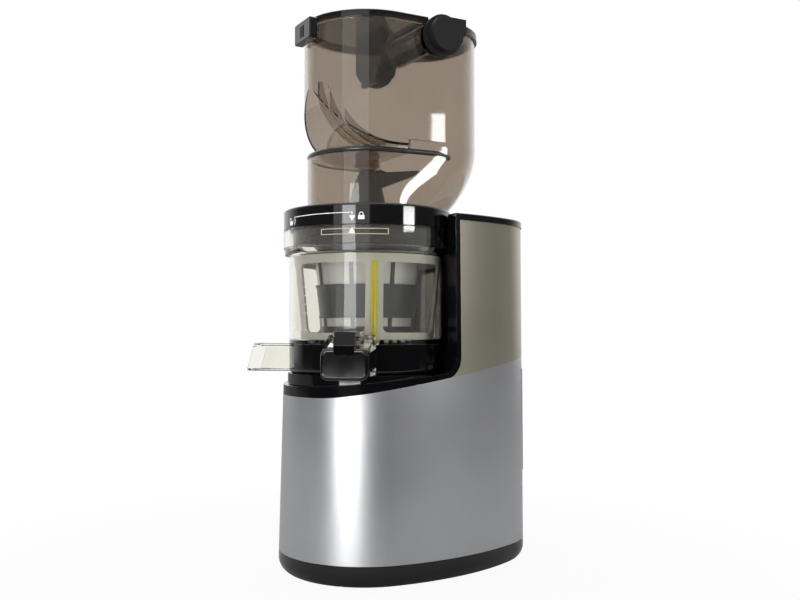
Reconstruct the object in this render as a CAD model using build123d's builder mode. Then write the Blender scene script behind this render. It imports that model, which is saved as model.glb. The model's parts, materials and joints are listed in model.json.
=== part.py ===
from build123d import *
import math
import os

os.makedirs("parts", exist_ok=True)

# Millimetres, +Z up. The origin lies on the floor, on the vertical axis of the juicing drum.
# The tower and the motor stand towards +X, and the latch of the hopper lid points to -X.

# Base casing: an egg plan with one arc about the drum axis and a smaller one about the tower
front_radius = 74.0
rear_radius = 60.0
rear_axis = 88.0
side_radius = 215.0
front_draft = 0.0245
rear_draft = 0.004
wall = 2.5
skin_gap = 0.1
foot_height = 1.5
skirt_top = 20.0
skirt_round = 12.0
skirt_wall = 3.0
seam_front = 148.0
seam_knee = -58.0
seam_slope = 0.158
seam_bend = 90.0
lip_depth = 6.0
lip_wall = 2.4
far_side = 220.0
casing_limit = 310.0

# Drum seat and tower
deck_height = 163.2
deck_slope = 0.1
deck_floor = 160.0
deck_wall = 3.0
guard_radius = 18.0
guard_wall = 2.0
guard_height = 3.0
collar_radius = 67.0
collar_wall = 3.0
recess_radius = 73.0
recess_wall = 3.0
tower_front = 45.0
tower_corner = 13.5
frame_strip = 4.5
panel_top = 291.5
cap_height = 5.5
cap_overhang = 0.8
cap_lip = 4.0
cap_round = 1.2

# Feet, screws and fittings of the base
foot_radius = 8.0
foot_inset = 24.5
foot_sink = 1.5
post_inset = 11.0
rib_wall = 2.5
post_radius = 5.5
post_top = 60.0
screw_radius = 1.45
screw_head_radius = 3.5
screw_head_height = 2.4
screw_head_base = 5.6
screw_length = 24.0
screw_fit = 0.1
vent_half_width = 32.0
vent_low = 78.0
vent_high = 167.0
vent_pitch = 8.0
vent_slot = 3.0
vent_proud = 0.6
vent_lap = 4.0
vent_back_wall = 1.6
vent_count = 11
vent_margin = 6.0
switch_height = 218.0
switch_half_width = 10.0
switch_half_height = 14.0
switch_wall = 2.0
switch_depth = 18.0
switch_flange = 2.5
switch_proud = 2.2
rocker_pivot_depth = 3.0
rocker_half_height = 10.0
rocker_pin = 1.5
rocker_back = 4.0
rocker_reach = 7.5
rocker_dip = 1.4
rocker_side_gap = 0.4
running_gap = 0.05
gland_height = 36.0
gland_radius = 7.0
gland_flange = 10.0
gland_bore = 3.6
gland_collar = 3.0
floor_slots_x = 50.0
floor_slot_pitch = 7.0
floor_slot_count = 9
floor_slot_length = 44.0
floor_slot_width = 3.0

# Motor and reduction gear
pressure_angle = 25.0
gear_slack = 0.12
tip_height = 0.9
root_depth = 1.2
motor_module = 1.25
motor_pinion_teeth = 12
lay_wheel_teeth = 48
lay_module = 1.75
lay_pinion_teeth = 12
output_teeth = 40
motor_can_radius = 33.0
motor_can_wall = 2.0
motor_base = 16.0
motor_height = 80.0
can_slots = 8
can_slot_width = 7.0
stator_radius = 24.6
stator_low = 40.0
stator_high = 78.0
rotor_radius = 24.0
fan_radius = 27.0
fan_low = 24.0
fan_high = 33.0
fan_blades = 9
mount_radius = 24.0
plate_height = 4.0
wheel_gap = 2.0
wheel_width = 8.0
pinion_width = 14.0
wheel_holes = 6
wheel_hole_radius = 4.5
gearbox_wall = 3.0
gearbox_clearance = 3.0
nose_flange = 22.0
nose_flange_height = 3.0
shaft_radius = 7.0
lay_shaft_radius = 4.0
rotor_shaft_radius = 4.0
hexagon = 12.0
hexagon_fit = 0.3
bearing_radius = 14.0
bearing_width = 8.0
bearing_groove = 1.0
board_front = 98.4
board_wall = 1.6
board_half_width = 36.0
board_low = 188.0
board_high = 272.0
standoff_radius = 3.0
standoff_spread = 28.0
standoff_margin = 7.0

# Juicing bowl
bowl_bottom = 166.0
seat_gap = 0.3
base_wall = 2.4
base_top = 190.0
bowl_radius = 66.0
bowl_wall = 2.5
bowl_corner = 2.5
bowl_floor = 189.0
floor_wall = 2.0
bowl_shoulder = 264.0
flange_radius = 71.0
flange_low = 269.7
flange_top = 284.0
bowl_neck = 68.4
neck_top = 290.5
hub_radius = 14.5
hub_bore = 9.0
bowl_module = 1.75
auger_teeth = 14
idler_teeth = 20
cage_teeth = 54
gear_low = 190.0
gear_high = 198.0
idler_angle = -43.0
idler_pin_radius = 3.0
bead_radius = 70.0
bead_height = 4.7
juice_hole_near = 56.5
juice_hole_far = 60.3
pulp_hole_near = 17.5
pulp_hole_far = 36.5
pulp_hole_spread = 52.0

# Spouts, as angles about the drum axis
juice_angle = -127.5
juice_width = 37.0
juice_reach = 89.0
juice_slope_top = 198.0
juice_slope_end = 187.0
cap_hinge_radius = 76.0
cap_hinge_height = 197.0
cap_barrel = 3.8
cap_pin_radius = 1.25
cap_ear_inside = 9.0
cap_ear_wall = 3.0
cap_plate = 7.0
cap_low = 163.5
cap_high = 188.0
cap_strap_width = 16.0
cap_strap_height = 4.0
pulp_angle = 137.0
pulp_width = 34.0
pulp_reach = 103.0
pulp_reach_top = 96.6
spout_wall = 2.2
spout_low = 166.6
spout_high = 190.3
spout_start = 62.0
channel_start = 50.0

# Wiper cage and strainer
cage_low = 189.3
cage_foot_radius = 55.5
cage_top_radius = 62.3
cage_top = 262.5
cage_wall = 2.2
cage_windows = 5
cage_bar = 14.2
cage_notches = 48
window_low = 199.5
window_high = 255.5
window_corner = 5.0
notch_width = 4.0
notch_height = 2.5
wiper_angle = -111.7
wiper_bars = (0, 3)
wiper_slot = 1.6
wiper_pad = 0.8
wiper_reach = 63.2
wiper_steps = ((190.0, 209.0, 2.2), (209.0, 241.0, 2.7), (241.0, 256.5, 2.2))
strainer_low = 200.0
strainer_high = 263.0
strainer_foot_radius = 37.8
strainer_top_radius = 44.8
mesh_wall = 0.8
frame_wall = 1.3
band_low = 211.5
band_high = 239.0
band_rim = 0.6
strainer_ribs = 8
strainer_rib_width = 3.0
strainer_plate = 4.5
strainer_hole = 15.0
strainer_ring_low = 258.0
strainer_ring_high = 264.0
nozzle_wall = 1.6
nozzle_low = 188.0

# Auger
auger_neck = 13.0
auger_core = ((206.0, 30.0), (262.0, 20.0), (300.0, 17.5), (325.0, 12.0), (338.0, 6.0))
auger_tip = 345.0
auger_pitch = 38.0
flight_top = 290.0
flight_width = 4.0
flight_step = 1.5
flight_gap = 0.7
post_tip_radius = 5.0
wing_angle = -29.0
wing_low = 318.0
wing_high = 337.5
wing_tip = 335.0
wing_reach = 44.0
wing_width = 5.0

# Lid and hopper
ring_low = 284.5
ring_high = 301.3
ring_wall = 2.2
ring_plate = 3.8
ring_round = 2.0
lid_seal_inside = 64.0
lid_seal_outside = 68.0
neck_radius = 51.0
neck_low = 290.0
neck_wall = 2.8
neck_flange = 58.0
neck_flange_height = 3.2
chamber_sections = ((301.3, 50.0, 20.0), (320.0, 51.4, 34.5), (340.0, 52.9, 43.0), (357.0, 54.0, 45.0))
chamber_roof = 348.0
scoop_low = 351.0
hopper_radius = 54.0
hopper_rear = 45.0
hopper_wall = 2.5
hopper_top = 453.0
scoop_round = 54.0
scoop_ribs = (-12.0, -23.0, -34.0)
scoop_rib_width = 1.6
scoop_rib_depth = 4.5
chute_front = 12.0
bush_radius = 8.0
bush_low = 338.0
cover_top = 459.0
cover_overhang = 2.0
cover_round = 1.2
cover_step_x = 27.5
cover_half_width = 50.0
hinge_x = 39.0
hinge_z = 444.0
hinge_end_wall = 2.5
hinge_pin_radius = 4.0
hinge_neck = 8.0
hinge_flange = 17.0
hinge_flange_start = 56.3
hinge_flange_end = 62.0
hinge_ear = 14.5
hinge_ear_end = 69.0
hinge_ear_top = 457.0
hinge_ear_rear = 56.0
rear_cover_front = 57.0
rear_cover_skirt = 446.0
blade_front = 0.5
blade_wall = 3.0
blade_half_width = 24.0
blade_low = 418.0
blade_slant = 8.0
blade_nib_low = 411.0
blade_nib_half_width = 13.0
blade_gusset = 12.0
latch_half_width = 16.0
latch_low = 440.0
latch_high = 457.5
latch_front = -61.0
latch_round = 2.0
button_half_width = 3.6
button_low = 444.0
button_high = 453.0
button_wall = 2.0
button_pocket = 5.0


# ---------- shared outlines ----------

def casing_arcs(level, inset):
    """Arcs of the casing's egg outline at a height, moved inwards by inset."""
    front = front_radius - front_draft * (level - skirt_top) - inset
    rear = rear_radius - rear_draft * (level - skirt_top) - inset
    side = side_radius - inset
    to_front = side - front
    to_rear = side - rear
    centre_x = (to_front ** 2 - to_rear ** 2 + rear_axis ** 2) / (2 * rear_axis)
    centre_y = math.sqrt(to_front ** 2 - centre_x ** 2)
    front_x = centre_x * (1 - side / to_front)
    front_y = centre_y * (1 - side / to_front)
    rear_x = centre_x + (rear_axis - centre_x) * side / to_rear
    rear_y = centre_y * (1 - side / to_rear)
    return (
        ((front_x, front_y), (centre_x, centre_y - side), (rear_x, rear_y)),
        ((rear_x, rear_y), (rear_axis + rear, 0), (rear_x, -rear_y)),
        ((rear_x, -rear_y), (centre_x, side - centre_y), (front_x, -front_y)),
        ((front_x, -front_y), (-front, 0), (front_x, front_y)),
    )


def casing_block(low, high, inset):
    """Solid of the casing's outline between two heights."""
    with BuildPart() as casing:
        for level in (0, casing_limit):
            with BuildSketch(Plane.XY.offset(level)):
                with BuildLine():
                    for start, middle, end in casing_arcs(level, inset):
                        ThreePointArc(start, middle, end)
                make_face()
        loft()
        block(-far_side, far_side, far_side, low, high, Mode.INTERSECT)
    return casing.part


def seam_level(x):
    return seam_front + seam_slope * (x - seam_knee)


def seam_block(raise_by=0.0):
    """Everything below the slanted top edge of the casing, moved up by raise_by."""
    front = seam_front + raise_by
    rear = seam_level(far_side) + raise_by
    with BuildPart() as below:
        with BuildSketch(Plane.XZ):
            with BuildLine():
                FilletPolyline((-far_side, front), (seam_knee, front), (far_side, rear), radius=seam_bend)
                Polyline((far_side, rear), (far_side, -1), (-far_side, -1), (-far_side, front))
            make_face()
        extrude(amount=far_side, both=True)
    return below.part


def tower_block(step, top):
    """Everything behind the tower's rounded front edge, the edge set back by step."""
    centre_x = tower_front - tower_corner
    centre_z = deck_height + deck_slope * centre_x + tower_corner
    reach = tower_corner + step
    with BuildPart() as behind:
        with BuildSketch(Plane.XZ):
            with BuildLine():
                Line((centre_x + reach, top), (centre_x + reach, centre_z))
                CenterArc((centre_x, centre_z), reach, start_angle=-90, arc_size=90)
                Polyline(
                    (centre_x, centre_z - reach),
                    (centre_x, skirt_top),
                    (far_side, skirt_top),
                    (far_side, top),
                    (centre_x + reach, top),
                )
            make_face()
        extrude(amount=far_side, both=True)
    return behind.part


def deck_block():
    """Everything under the sloping deck in front of the tower."""
    corner = tower_front - tower_corner
    with BuildPart() as below:
        with BuildSketch(Plane.XZ):
            Polygon(
                (-far_side, skirt_top),
                (corner, skirt_top),
                (corner, deck_height + deck_slope * corner),
                (-far_side, deck_height - deck_slope * far_side),
                align=None,
            )
        extrude(amount=far_side, both=True)
    return below.part


def disc(radius, low, high, x=0.0, y=0.0, mode=Mode.ADD):
    with Locations((x, y, low)):
        Cylinder(radius, high - low, align=(Align.CENTER, Align.CENTER, Align.MIN), mode=mode)


def block(x_low, x_high, half_width, low, high, mode=Mode.ADD):
    with Locations((x_low, 0, low)):
        Box(x_high - x_low, 2 * half_width, high - low, align=(Align.MIN, Align.CENTER, Align.MIN), mode=mode)


def turned(points):
    """Solid of a profile of (radius, height) points turned about the drum axis."""
    with BuildPart() as lathe:
        with BuildSketch(Plane.XZ):
            Polygon(*points, align=None)
        revolve(axis=Axis.Z)
    return lathe.part


def gear_outline(teeth, module, inner, outer, slack, turn):
    """Outline points of a gear with involute flanks, each flank taken at three radii."""
    pitch = teeth * module / 2
    angle = math.radians(pressure_angle)
    base = pitch * math.cos(angle)
    half_tooth = math.pi / (2 * teeth) - slack / pitch + math.tan(angle) - angle

    def half_angle(radius):
        roll = math.acos(min(1.0, base / radius))
        return half_tooth - (math.tan(roll) - roll)

    points = []
    for tooth in range(teeth):
        middle = math.radians(turn) + 2 * math.pi * tooth / teeth
        for radius in (inner, pitch, outer):
            spread = middle - half_angle(radius)
            points.append((radius * math.cos(spread), radius * math.sin(spread)))
        for radius in (outer, pitch, inner):
            spread = middle + half_angle(radius)
            points.append((radius * math.cos(spread), radius * math.sin(spread)))
    return points


def gear(teeth, module, turn, low, high, x=0.0, y=0.0):
    pitch = teeth * module / 2
    root = pitch - root_depth * module
    tip = pitch + tip_height * module
    outline = gear_outline(teeth, module, root, tip, gear_slack, turn)
    with BuildPart() as wheel:
        with BuildSketch(Plane.XY.offset(low)):
            with Locations((x, y)):
                Polygon(*outline, align=None)
        extrude(amount=high - low)
    return wheel.part


def polar(radius, angle):
    return radius * math.cos(math.radians(angle)), radius * math.sin(math.radians(angle))


def radial_plane(angle):
    """Upright plane through the drum axis: x runs outwards at the angle, y runs up."""
    return Plane(origin=(0, 0, 0), x_dir=(*polar(1, angle), 0), z_dir=(*polar(1, angle - 90), 0))


def both_sides(radius, front_angle, rear_reach, rear_angle):
    """Two places in front of the drum axis and two behind it, mirrored in Y."""
    front_x, front_y = polar(radius, front_angle)
    rear_x, rear_y = polar(rear_reach, rear_angle)
    return [
        (front_x, front_y),
        (front_x, -front_y),
        (rear_axis + rear_x, rear_y),
        (rear_axis + rear_x, -rear_y),
    ]


foot_places = both_sides(front_radius - foot_inset, 136, rear_radius - foot_inset, 47)
screw_places = both_sides(front_radius - post_inset, 135, rear_radius - post_inset, 45)


# ---------- base ----------

lip_inset = wall + skin_gap
casing_high = seam_level(rear_axis + rear_radius)
tray_floor = foot_height + skirt_wall

with BuildPart() as skirt_cavity:
    add(casing_block(tray_floor, skirt_top + 1, skirt_wall))
    fillet(skirt_cavity.faces().sort_by(Axis.Z)[0].edges(), skirt_round - skirt_wall)

with BuildPart() as bottom_cover:
    add(casing_block(foot_height, skirt_top, 0))
    fillet(bottom_cover.faces().sort_by(Axis.Z)[0].edges(), skirt_round)
    add(skirt_cavity.part, mode=Mode.SUBTRACT)
    # Lip that locates the casing shell
    add(casing_block(skirt_top - skirt_wall, skirt_top + lip_depth, lip_inset))
    lip_hollow = casing_block(skirt_top - skirt_wall - 1, skirt_top + lip_depth + 1, lip_inset + lip_wall)
    add(lip_hollow, mode=Mode.SUBTRACT)
    # Screw bosses with counterbored holes
    with BuildSketch(Plane.XY.offset(tray_floor - 0.5)):
        with Locations(*screw_places):
            Circle(post_radius)
    extrude(amount=skirt_top - skin_gap - tray_floor + 0.5)
    with BuildSketch():
        with Locations(*screw_places):
            Circle(screw_radius + 2 * screw_fit)
    extrude(amount=skirt_top, mode=Mode.SUBTRACT)
    with BuildSketch():
        with Locations(*screw_places):
            Circle(screw_head_radius + 4 * screw_fit)
    extrude(amount=screw_head_base + screw_head_height, mode=Mode.SUBTRACT)
    # Pockets for the feet
    with BuildSketch(Plane.XY.offset(foot_height)):
        with Locations(*foot_places):
            Circle(foot_radius + skin_gap)
    extrude(amount=foot_sink, mode=Mode.SUBTRACT)
    # Cooling slots in the floor
    with BuildSketch(Plane.XY.offset(foot_height)):
        with Locations((floor_slots_x, 0)):
            with GridLocations(floor_slot_pitch, 1, floor_slot_count, 1):
                SlotOverall(floor_slot_length, floor_slot_width, rotation=90)
    extrude(amount=skirt_wall, mode=Mode.SUBTRACT)
bottom_cover.part.label = "bottom_cover"
export_step(bottom_cover.part, "parts/bottom_cover.step")

with BuildPart() as rubber_feet:
    with BuildSketch():
        with Locations(*foot_places):
            Circle(foot_radius)
    extrude(amount=foot_height + foot_sink)
    chamfer(rubber_feet.faces().filter_by_position(Axis.Z, -0.1, 0.1).edges(), foot_height / 2)
rubber_feet.part.label = "rubber_feet"
export_step(rubber_feet.part, "parts/rubber_feet.step")

with BuildPart() as bottom_screws:
    with BuildSketch(Plane.XY.offset(screw_head_base)):
        with Locations(*screw_places):
            Circle(screw_head_radius)
    extrude(amount=screw_head_height)
    with BuildSketch(Plane.XY.offset(screw_head_base)):
        with Locations(*screw_places):
            Circle(screw_radius)
    extrude(amount=screw_head_height + screw_length)
    with BuildSketch(Plane.XY.offset(screw_head_base)):
        with Locations(*screw_places):
            RegularPolygon(screw_radius, 6)
    extrude(amount=screw_head_height / 2, mode=Mode.SUBTRACT)
bottom_screws.part.label = "bottom_screws"
export_step(bottom_screws.part, "parts/bottom_screws.step")

with BuildPart() as body_shell:
    add(casing_block(skirt_top, casing_high + 1, 0))
    add(casing_block(skirt_top - 1, casing_high + 2, wall), mode=Mode.SUBTRACT)
    # Screw posts, each tied to the wall by a rib above the cover's lip
    with BuildSketch(Plane.XY.offset(skirt_top + skin_gap)):
        with Locations(*screw_places):
            Circle(post_radius)
            Circle(screw_radius + screw_fit, mode=Mode.SUBTRACT)
    extrude(amount=post_top - skirt_top - skin_gap)
    for x, y in screw_places:
        about = 0 if x < 0 else rear_axis
        lean = math.degrees(math.atan2(y, x - about))
        with BuildSketch(Plane(origin=(x, y, skirt_top + lip_depth + 1), x_dir=(*polar(1, lean), 0))):
            with Locations(((screw_radius + post_inset) / 2 + 0.5, 0)):
                Rectangle(post_inset - screw_radius - wall / 2, rib_wall)
        extrude(amount=post_top - skirt_top - lip_depth - 1)
    add(seam_block(), mode=Mode.INTERSECT)
    # Openings for the rear vent and the cord gland
    block(rear_axis, far_side, vent_half_width + skin_gap, vent_low - skin_gap, vent_high + skin_gap, Mode.SUBTRACT)
    with BuildSketch(Plane.YZ.offset(rear_axis)):
        with Locations((0, gland_height)):
            Circle(gland_radius + skin_gap)
    extrude(amount=far_side - rear_axis, mode=Mode.SUBTRACT)
body_shell.part.label = "body_shell"
export_step(body_shell.part, "parts/body_shell.step")

# Skin of the tower, filled by the side panel
with BuildPart() as panel_zone:
    add(casing_block(seam_front - 10, panel_top, -cap_overhang))
    add(tower_block(frame_strip, panel_top), mode=Mode.INTERSECT)
    add(casing_block(seam_front - 11, panel_top + 1, lip_inset), mode=Mode.SUBTRACT)
    add(seam_block(), mode=Mode.SUBTRACT)

with BuildPart() as tower_hollow:
    add(casing_block(deck_floor - deck_wall - 1, panel_top + 1, lip_inset + lip_wall))
    add(tower_block(recess_wall, panel_top + 1), mode=Mode.INTERSECT)
    disc(recess_radius + recess_wall, skirt_top, panel_top + 2, mode=Mode.SUBTRACT)

with BuildPart() as seam_lip:
    add(casing_block(seam_front - 2 * lip_depth, casing_high + 4, lip_inset))
    add(seam_block(1), mode=Mode.INTERSECT)
    add(seam_block(-lip_depth), mode=Mode.SUBTRACT)

with BuildPart() as seat_sides:
    add(deck_block())
    add(tower_block(0, panel_top))

standoff_places = [
    (side * standoff_spread, level)
    for side in (-1, 1)
    for level in (board_low + standoff_margin, board_high - standoff_margin)
]

with BuildPart() as drum_seat:
    # Rim, deck and tower front above the casing seam
    add(casing_block(seam_front - 10, panel_top, 0))
    add(seat_sides.part, mode=Mode.INTERSECT)
    add(seam_block(), mode=Mode.SUBTRACT)
    add(panel_zone.part, mode=Mode.SUBTRACT)
    add(seam_lip.part)
    disc(collar_radius, deck_floor - deck_wall, bowl_bottom - seat_gap)
    # Hollow underside and tower
    under_deck = casing_block(seam_front - 20, deck_floor - deck_wall, lip_inset + lip_wall)
    add(under_deck, mode=Mode.SUBTRACT)
    add(tower_hollow.part, mode=Mode.SUBTRACT)
    # Seat of the bowl: recess in the tower, pocket inside the collar, guard ring round the shaft
    disc(recess_radius, bowl_bottom - seat_gap, panel_top + 1, mode=Mode.SUBTRACT)
    disc(collar_radius - collar_wall, deck_floor, panel_top, mode=Mode.SUBTRACT)
    disc(guard_radius, deck_floor - deck_wall, deck_floor + guard_height)
    disc(guard_radius - guard_wall, skirt_top, panel_top, mode=Mode.SUBTRACT)
    # Standoffs of the control board on the back of the recess wall
    with BuildSketch(Plane.YZ.offset(board_front)):
        with Locations(*standoff_places):
            Circle(standoff_radius)
    extrude(amount=recess_radius - recess_wall - board_front)
    # Opening for the power switch
    block(
        rear_axis,
        far_side,
        switch_half_width + skin_gap,
        switch_height - switch_half_height - skin_gap,
        switch_height + switch_half_height + skin_gap,
        Mode.SUBTRACT,
    )
drum_seat.part.label = "drum_seat"
export_step(drum_seat.part, "parts/drum_seat.step")

switch_low = switch_height - switch_half_height
switch_high = switch_height + switch_half_height
switch_face = rear_axis + rear_radius - rear_draft * (switch_height - skirt_top)
switch_well = switch_face - switch_depth

with BuildPart() as tower_panel:
    add(casing_block(seam_front - 10, panel_top, 0))
    add(tower_block(frame_strip + skin_gap, panel_top), mode=Mode.INTERSECT)
    add(casing_block(seam_front - 12, panel_top + 1, wall), mode=Mode.SUBTRACT)
    add(seam_block(), mode=Mode.SUBTRACT)
    block(
        rear_axis,
        far_side,
        switch_half_width + skin_gap,
        switch_low - skin_gap,
        switch_high + skin_gap,
        Mode.SUBTRACT,
    )
tower_panel.part.label = "tower_panel"
export_step(tower_panel.part, "parts/tower_panel.step")

cap_top = panel_top + cap_height

# Lip of the cap that drops inside the tower
with BuildPart() as cap_rim:
    add(casing_block(panel_top - cap_lip, panel_top + 1, lip_inset + lip_wall + skin_gap))
    add(tower_block(recess_wall + skin_gap, panel_top + 1), mode=Mode.INTERSECT)
    disc(recess_radius + recess_wall + skin_gap, skirt_top, panel_top + 2, mode=Mode.SUBTRACT)
    add(casing_block(panel_top - cap_lip - 1, panel_top + 2, lip_inset + 2 * lip_wall), mode=Mode.SUBTRACT)

with BuildPart() as tower_cap:
    add(casing_block(panel_top, cap_top, -cap_overhang))
    block(tower_front, far_side, far_side, panel_top, cap_top, Mode.INTERSECT)
    disc(recess_radius, panel_top - 1, cap_top + 1, mode=Mode.SUBTRACT)
    fillet(tower_cap.faces().sort_by(Axis.Z)[-1].edges(), cap_round)
    add(cap_rim.part)
tower_cap.part.label = "tower_cap"
export_step(tower_cap.part, "parts/tower_cap.step")

with BuildPart() as vent_back:
    add(casing_block(vent_low - vent_lap, vent_high + vent_lap, wall + skin_gap))
    block(rear_axis, far_side, vent_half_width + vent_lap, vent_low - vent_lap, vent_high + vent_lap, Mode.INTERSECT)

with BuildPart() as rear_vent:
    add(casing_block(vent_low, vent_high, -vent_proud))
    block(rear_axis, far_side, vent_half_width, vent_low, vent_high, Mode.INTERSECT)
    add(vent_back.part)
    vent_inside = wall + skin_gap + vent_back_wall
    add(casing_block(vent_low - vent_lap - 1, vent_high + vent_lap + 1, vent_inside), mode=Mode.SUBTRACT)
    with BuildSketch(Plane.YZ.offset(rear_axis)):
        with Locations((0, (vent_low + vent_high) / 2)):
            with GridLocations(1, vent_pitch, 1, vent_count):
                SlotOverall(2 * vent_half_width - 2 * vent_margin, vent_slot)
    extrude(amount=far_side - rear_axis, mode=Mode.SUBTRACT)
rear_vent.part.label = "rear_vent"
export_step(rear_vent.part, "parts/rear_vent.step")

with BuildPart() as switch_bezel:
    # Flange that sits on the rear of the tower
    with BuildSketch(Plane.YZ.offset(switch_face - switch_flange)):
        with Locations((0, switch_height)):
            RectangleRounded(
                2 * (switch_half_width + switch_flange),
                2 * (switch_half_height + switch_flange),
                switch_flange,
            )
    extrude(amount=switch_flange + switch_proud)
    fillet(switch_bezel.faces().sort_by(Axis.X)[-1].edges(), switch_proud / 2)
    add(casing_block(switch_low - 10, switch_high + 10, -skin_gap), mode=Mode.SUBTRACT)
    # Body with the well of the rocker
    block(switch_well, switch_face + switch_proud / 2, switch_half_width, switch_low, switch_high)
    block(
        switch_well + 2 * switch_wall,
        far_side,
        switch_half_width - switch_wall,
        switch_low + switch_wall,
        switch_high - switch_wall,
        Mode.SUBTRACT,
    )
    with BuildSketch(Plane.XZ):
        with Locations((switch_face - rocker_pivot_depth, switch_height)):
            Circle(rocker_pin + running_gap)
    extrude(amount=switch_half_width + 1, both=True, mode=Mode.SUBTRACT)
switch_bezel.part.label = "switch_bezel"
export_step(switch_bezel.part, "parts/switch_bezel.step")

with BuildPart() as switch_rocker:
    pivot_x = switch_face - rocker_pivot_depth
    with BuildSketch(Plane.XZ):
        Polygon(
            (pivot_x - rocker_back, switch_height - rocker_half_height / 2),
            (pivot_x + rocker_reach, switch_height - rocker_half_height),
            (pivot_x + rocker_reach - rocker_dip, switch_height),
            (pivot_x + rocker_reach, switch_height + rocker_half_height),
            (pivot_x - rocker_back, switch_height + rocker_half_height / 2),
            align=None,
        )
    extrude(amount=switch_half_width - switch_wall - rocker_side_gap, both=True)
    fillet(switch_rocker.faces().sort_by(Axis.X)[-1].edges().filter_by(Axis.Y), rocker_dip / 2)
    with BuildSketch(Plane.XZ):
        with Locations((pivot_x, switch_height)):
            Circle(rocker_pin)
    extrude(amount=switch_half_width - skin_gap, both=True)
switch_rocker.part.label = "switch_rocker"
export_step(switch_rocker.part, "parts/switch_rocker.step")

gland_face = rear_axis + rear_radius - rear_draft * (gland_height - skirt_top)

# Wall of the casing round the gland
with BuildPart() as gland_seat:
    add(casing_block(gland_height - 2 * gland_flange, gland_height + 2 * gland_flange, -skin_gap))
    with BuildSketch(Plane.YZ.offset(rear_axis)):
        with Locations((0, gland_height)):
            Circle(gland_radius)
    extrude(amount=far_side - rear_axis, mode=Mode.SUBTRACT)

with BuildPart() as cord_gland:
    with BuildSketch(Plane.YZ.offset(gland_face - wall - gland_collar)):
        with Locations((0, gland_height)):
            Circle(gland_radius)
    extrude(amount=wall + 2 * gland_collar)
    with BuildSketch(Plane.YZ.offset(gland_face - wall)):
        with Locations((0, gland_height)):
            Circle(gland_flange)
    extrude(amount=wall + gland_collar)
    fillet(cord_gland.faces().sort_by(Axis.X)[-1].edges(), gland_collar / 3)
    add(gland_seat.part, mode=Mode.SUBTRACT)
    with BuildSketch(Plane.YZ.offset(rear_axis)):
        with Locations((0, gland_height)):
            Circle(gland_bore)
    extrude(amount=far_side - rear_axis, mode=Mode.SUBTRACT)
cord_gland.part.label = "cord_gland"
export_step(cord_gland.part, "parts/cord_gland.step")

# ---------- motor and reduction gear ----------

lay_x = (lay_pinion_teeth + output_teeth) * lay_module / 2
motor_x = lay_x + (motor_pinion_teeth + lay_wheel_teeth) * motor_module / 2
motor_top = motor_base + motor_height
plate_top = motor_top + plate_height
wheel_low = plate_top + wheel_gap
wheel_high = wheel_low + wheel_width
pinion_high = wheel_high + pinion_width
gearbox_top = pinion_high + gearbox_wall + 1
output_radius = output_teeth * lay_module / 2 + lay_module
lay_radius = lay_wheel_teeth * motor_module / 2 + motor_module
pinion_radius = motor_pinion_teeth * motor_module / 2 + motor_module
deck_under = deck_floor - deck_wall


def gearbox_block(low, high, margin):
    """Hull round the three gear axes, margin wider than the gears."""
    with BuildPart() as hull:
        with BuildSketch(Plane.XY.offset(low)):
            Circle(output_radius + margin)
            with Locations((lay_x, 0)):
                Circle(lay_radius + margin)
            with Locations((motor_x, 0)):
                Circle(pinion_radius + margin)
            make_hull()
        extrude(amount=high - low)
    return hull.part


with BuildPart() as motor_mount:
    disc(mount_radius, tray_floor, motor_base, motor_x)
    disc(mount_radius - 2 * skirt_wall, tray_floor - 1, motor_base + 1, motor_x, mode=Mode.SUBTRACT)
    # Groove that lets the rubber ring give
    disc(mount_radius + 1, tray_floor + 4, motor_base - 4, motor_x, mode=Mode.SUBTRACT)
    disc(mount_radius - skirt_wall, tray_floor + 3, motor_base - 3, motor_x)
    disc(mount_radius - 2 * skirt_wall, tray_floor - 1, motor_base + 1, motor_x, mode=Mode.SUBTRACT)
motor_mount.part.label = "motor_mount"
export_step(motor_mount.part, "parts/motor_mount.step")

with BuildPart() as motor_can:
    disc(motor_can_radius, motor_base, motor_top, motor_x)
    fillet(motor_can.faces().sort_by(Axis.Z)[0].edges(), motor_can_wall)
    disc(motor_can_radius - motor_can_wall, motor_base + motor_can_wall, motor_top + 1, motor_x, mode=Mode.SUBTRACT)
    # Air slots round both ends
    with Locations((motor_x, 0, fan_low)):
        with PolarLocations(0, can_slots):
            Box(
                motor_can_radius + 1,
                can_slot_width,
                fan_high - fan_low,
                align=(Align.MIN, Align.CENTER, Align.MIN),
                mode=Mode.SUBTRACT,
            )
    with Locations((motor_x, 0, stator_high + wheel_width)):
        with PolarLocations(0, can_slots):
            Box(
                motor_can_radius + 1,
                can_slot_width,
                motor_can_wall * 3,
                align=(Align.MIN, Align.CENTER, Align.MIN),
                mode=Mode.SUBTRACT,
            )
    # Rear bearing of the rotor
    disc(rotor_shaft_radius + 4, motor_base, fan_low - 2, motor_x)
    disc(rotor_shaft_radius + running_gap, motor_base - 1, fan_low, motor_x, mode=Mode.SUBTRACT)
motor_can.part.label = "motor_can"
export_step(motor_can.part, "parts/motor_can.step")

with BuildPart() as motor_stator:
    disc(motor_can_radius - motor_can_wall, stator_low, stator_high, motor_x)
    disc(motor_can_radius - 2 * motor_can_wall, stator_low - 4, stator_high + 4, motor_x)
    disc(stator_radius, stator_low - 5, stator_high + 5, motor_x, mode=Mode.SUBTRACT)
motor_stator.part.label = "motor_stator"
export_step(motor_stator.part, "parts/motor_stator.step")

with BuildPart() as rotor_core:
    disc(rotor_radius, stator_low, stator_high, motor_x)
    disc(rotor_radius - 4, stator_low - 4, stator_high + 4, motor_x)
    disc(rotor_shaft_radius, stator_low - 5, stator_high + 5, motor_x, mode=Mode.SUBTRACT)
rotor_core.part.label = "rotor_core"
export_step(rotor_core.part, "parts/rotor_core.step")

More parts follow.
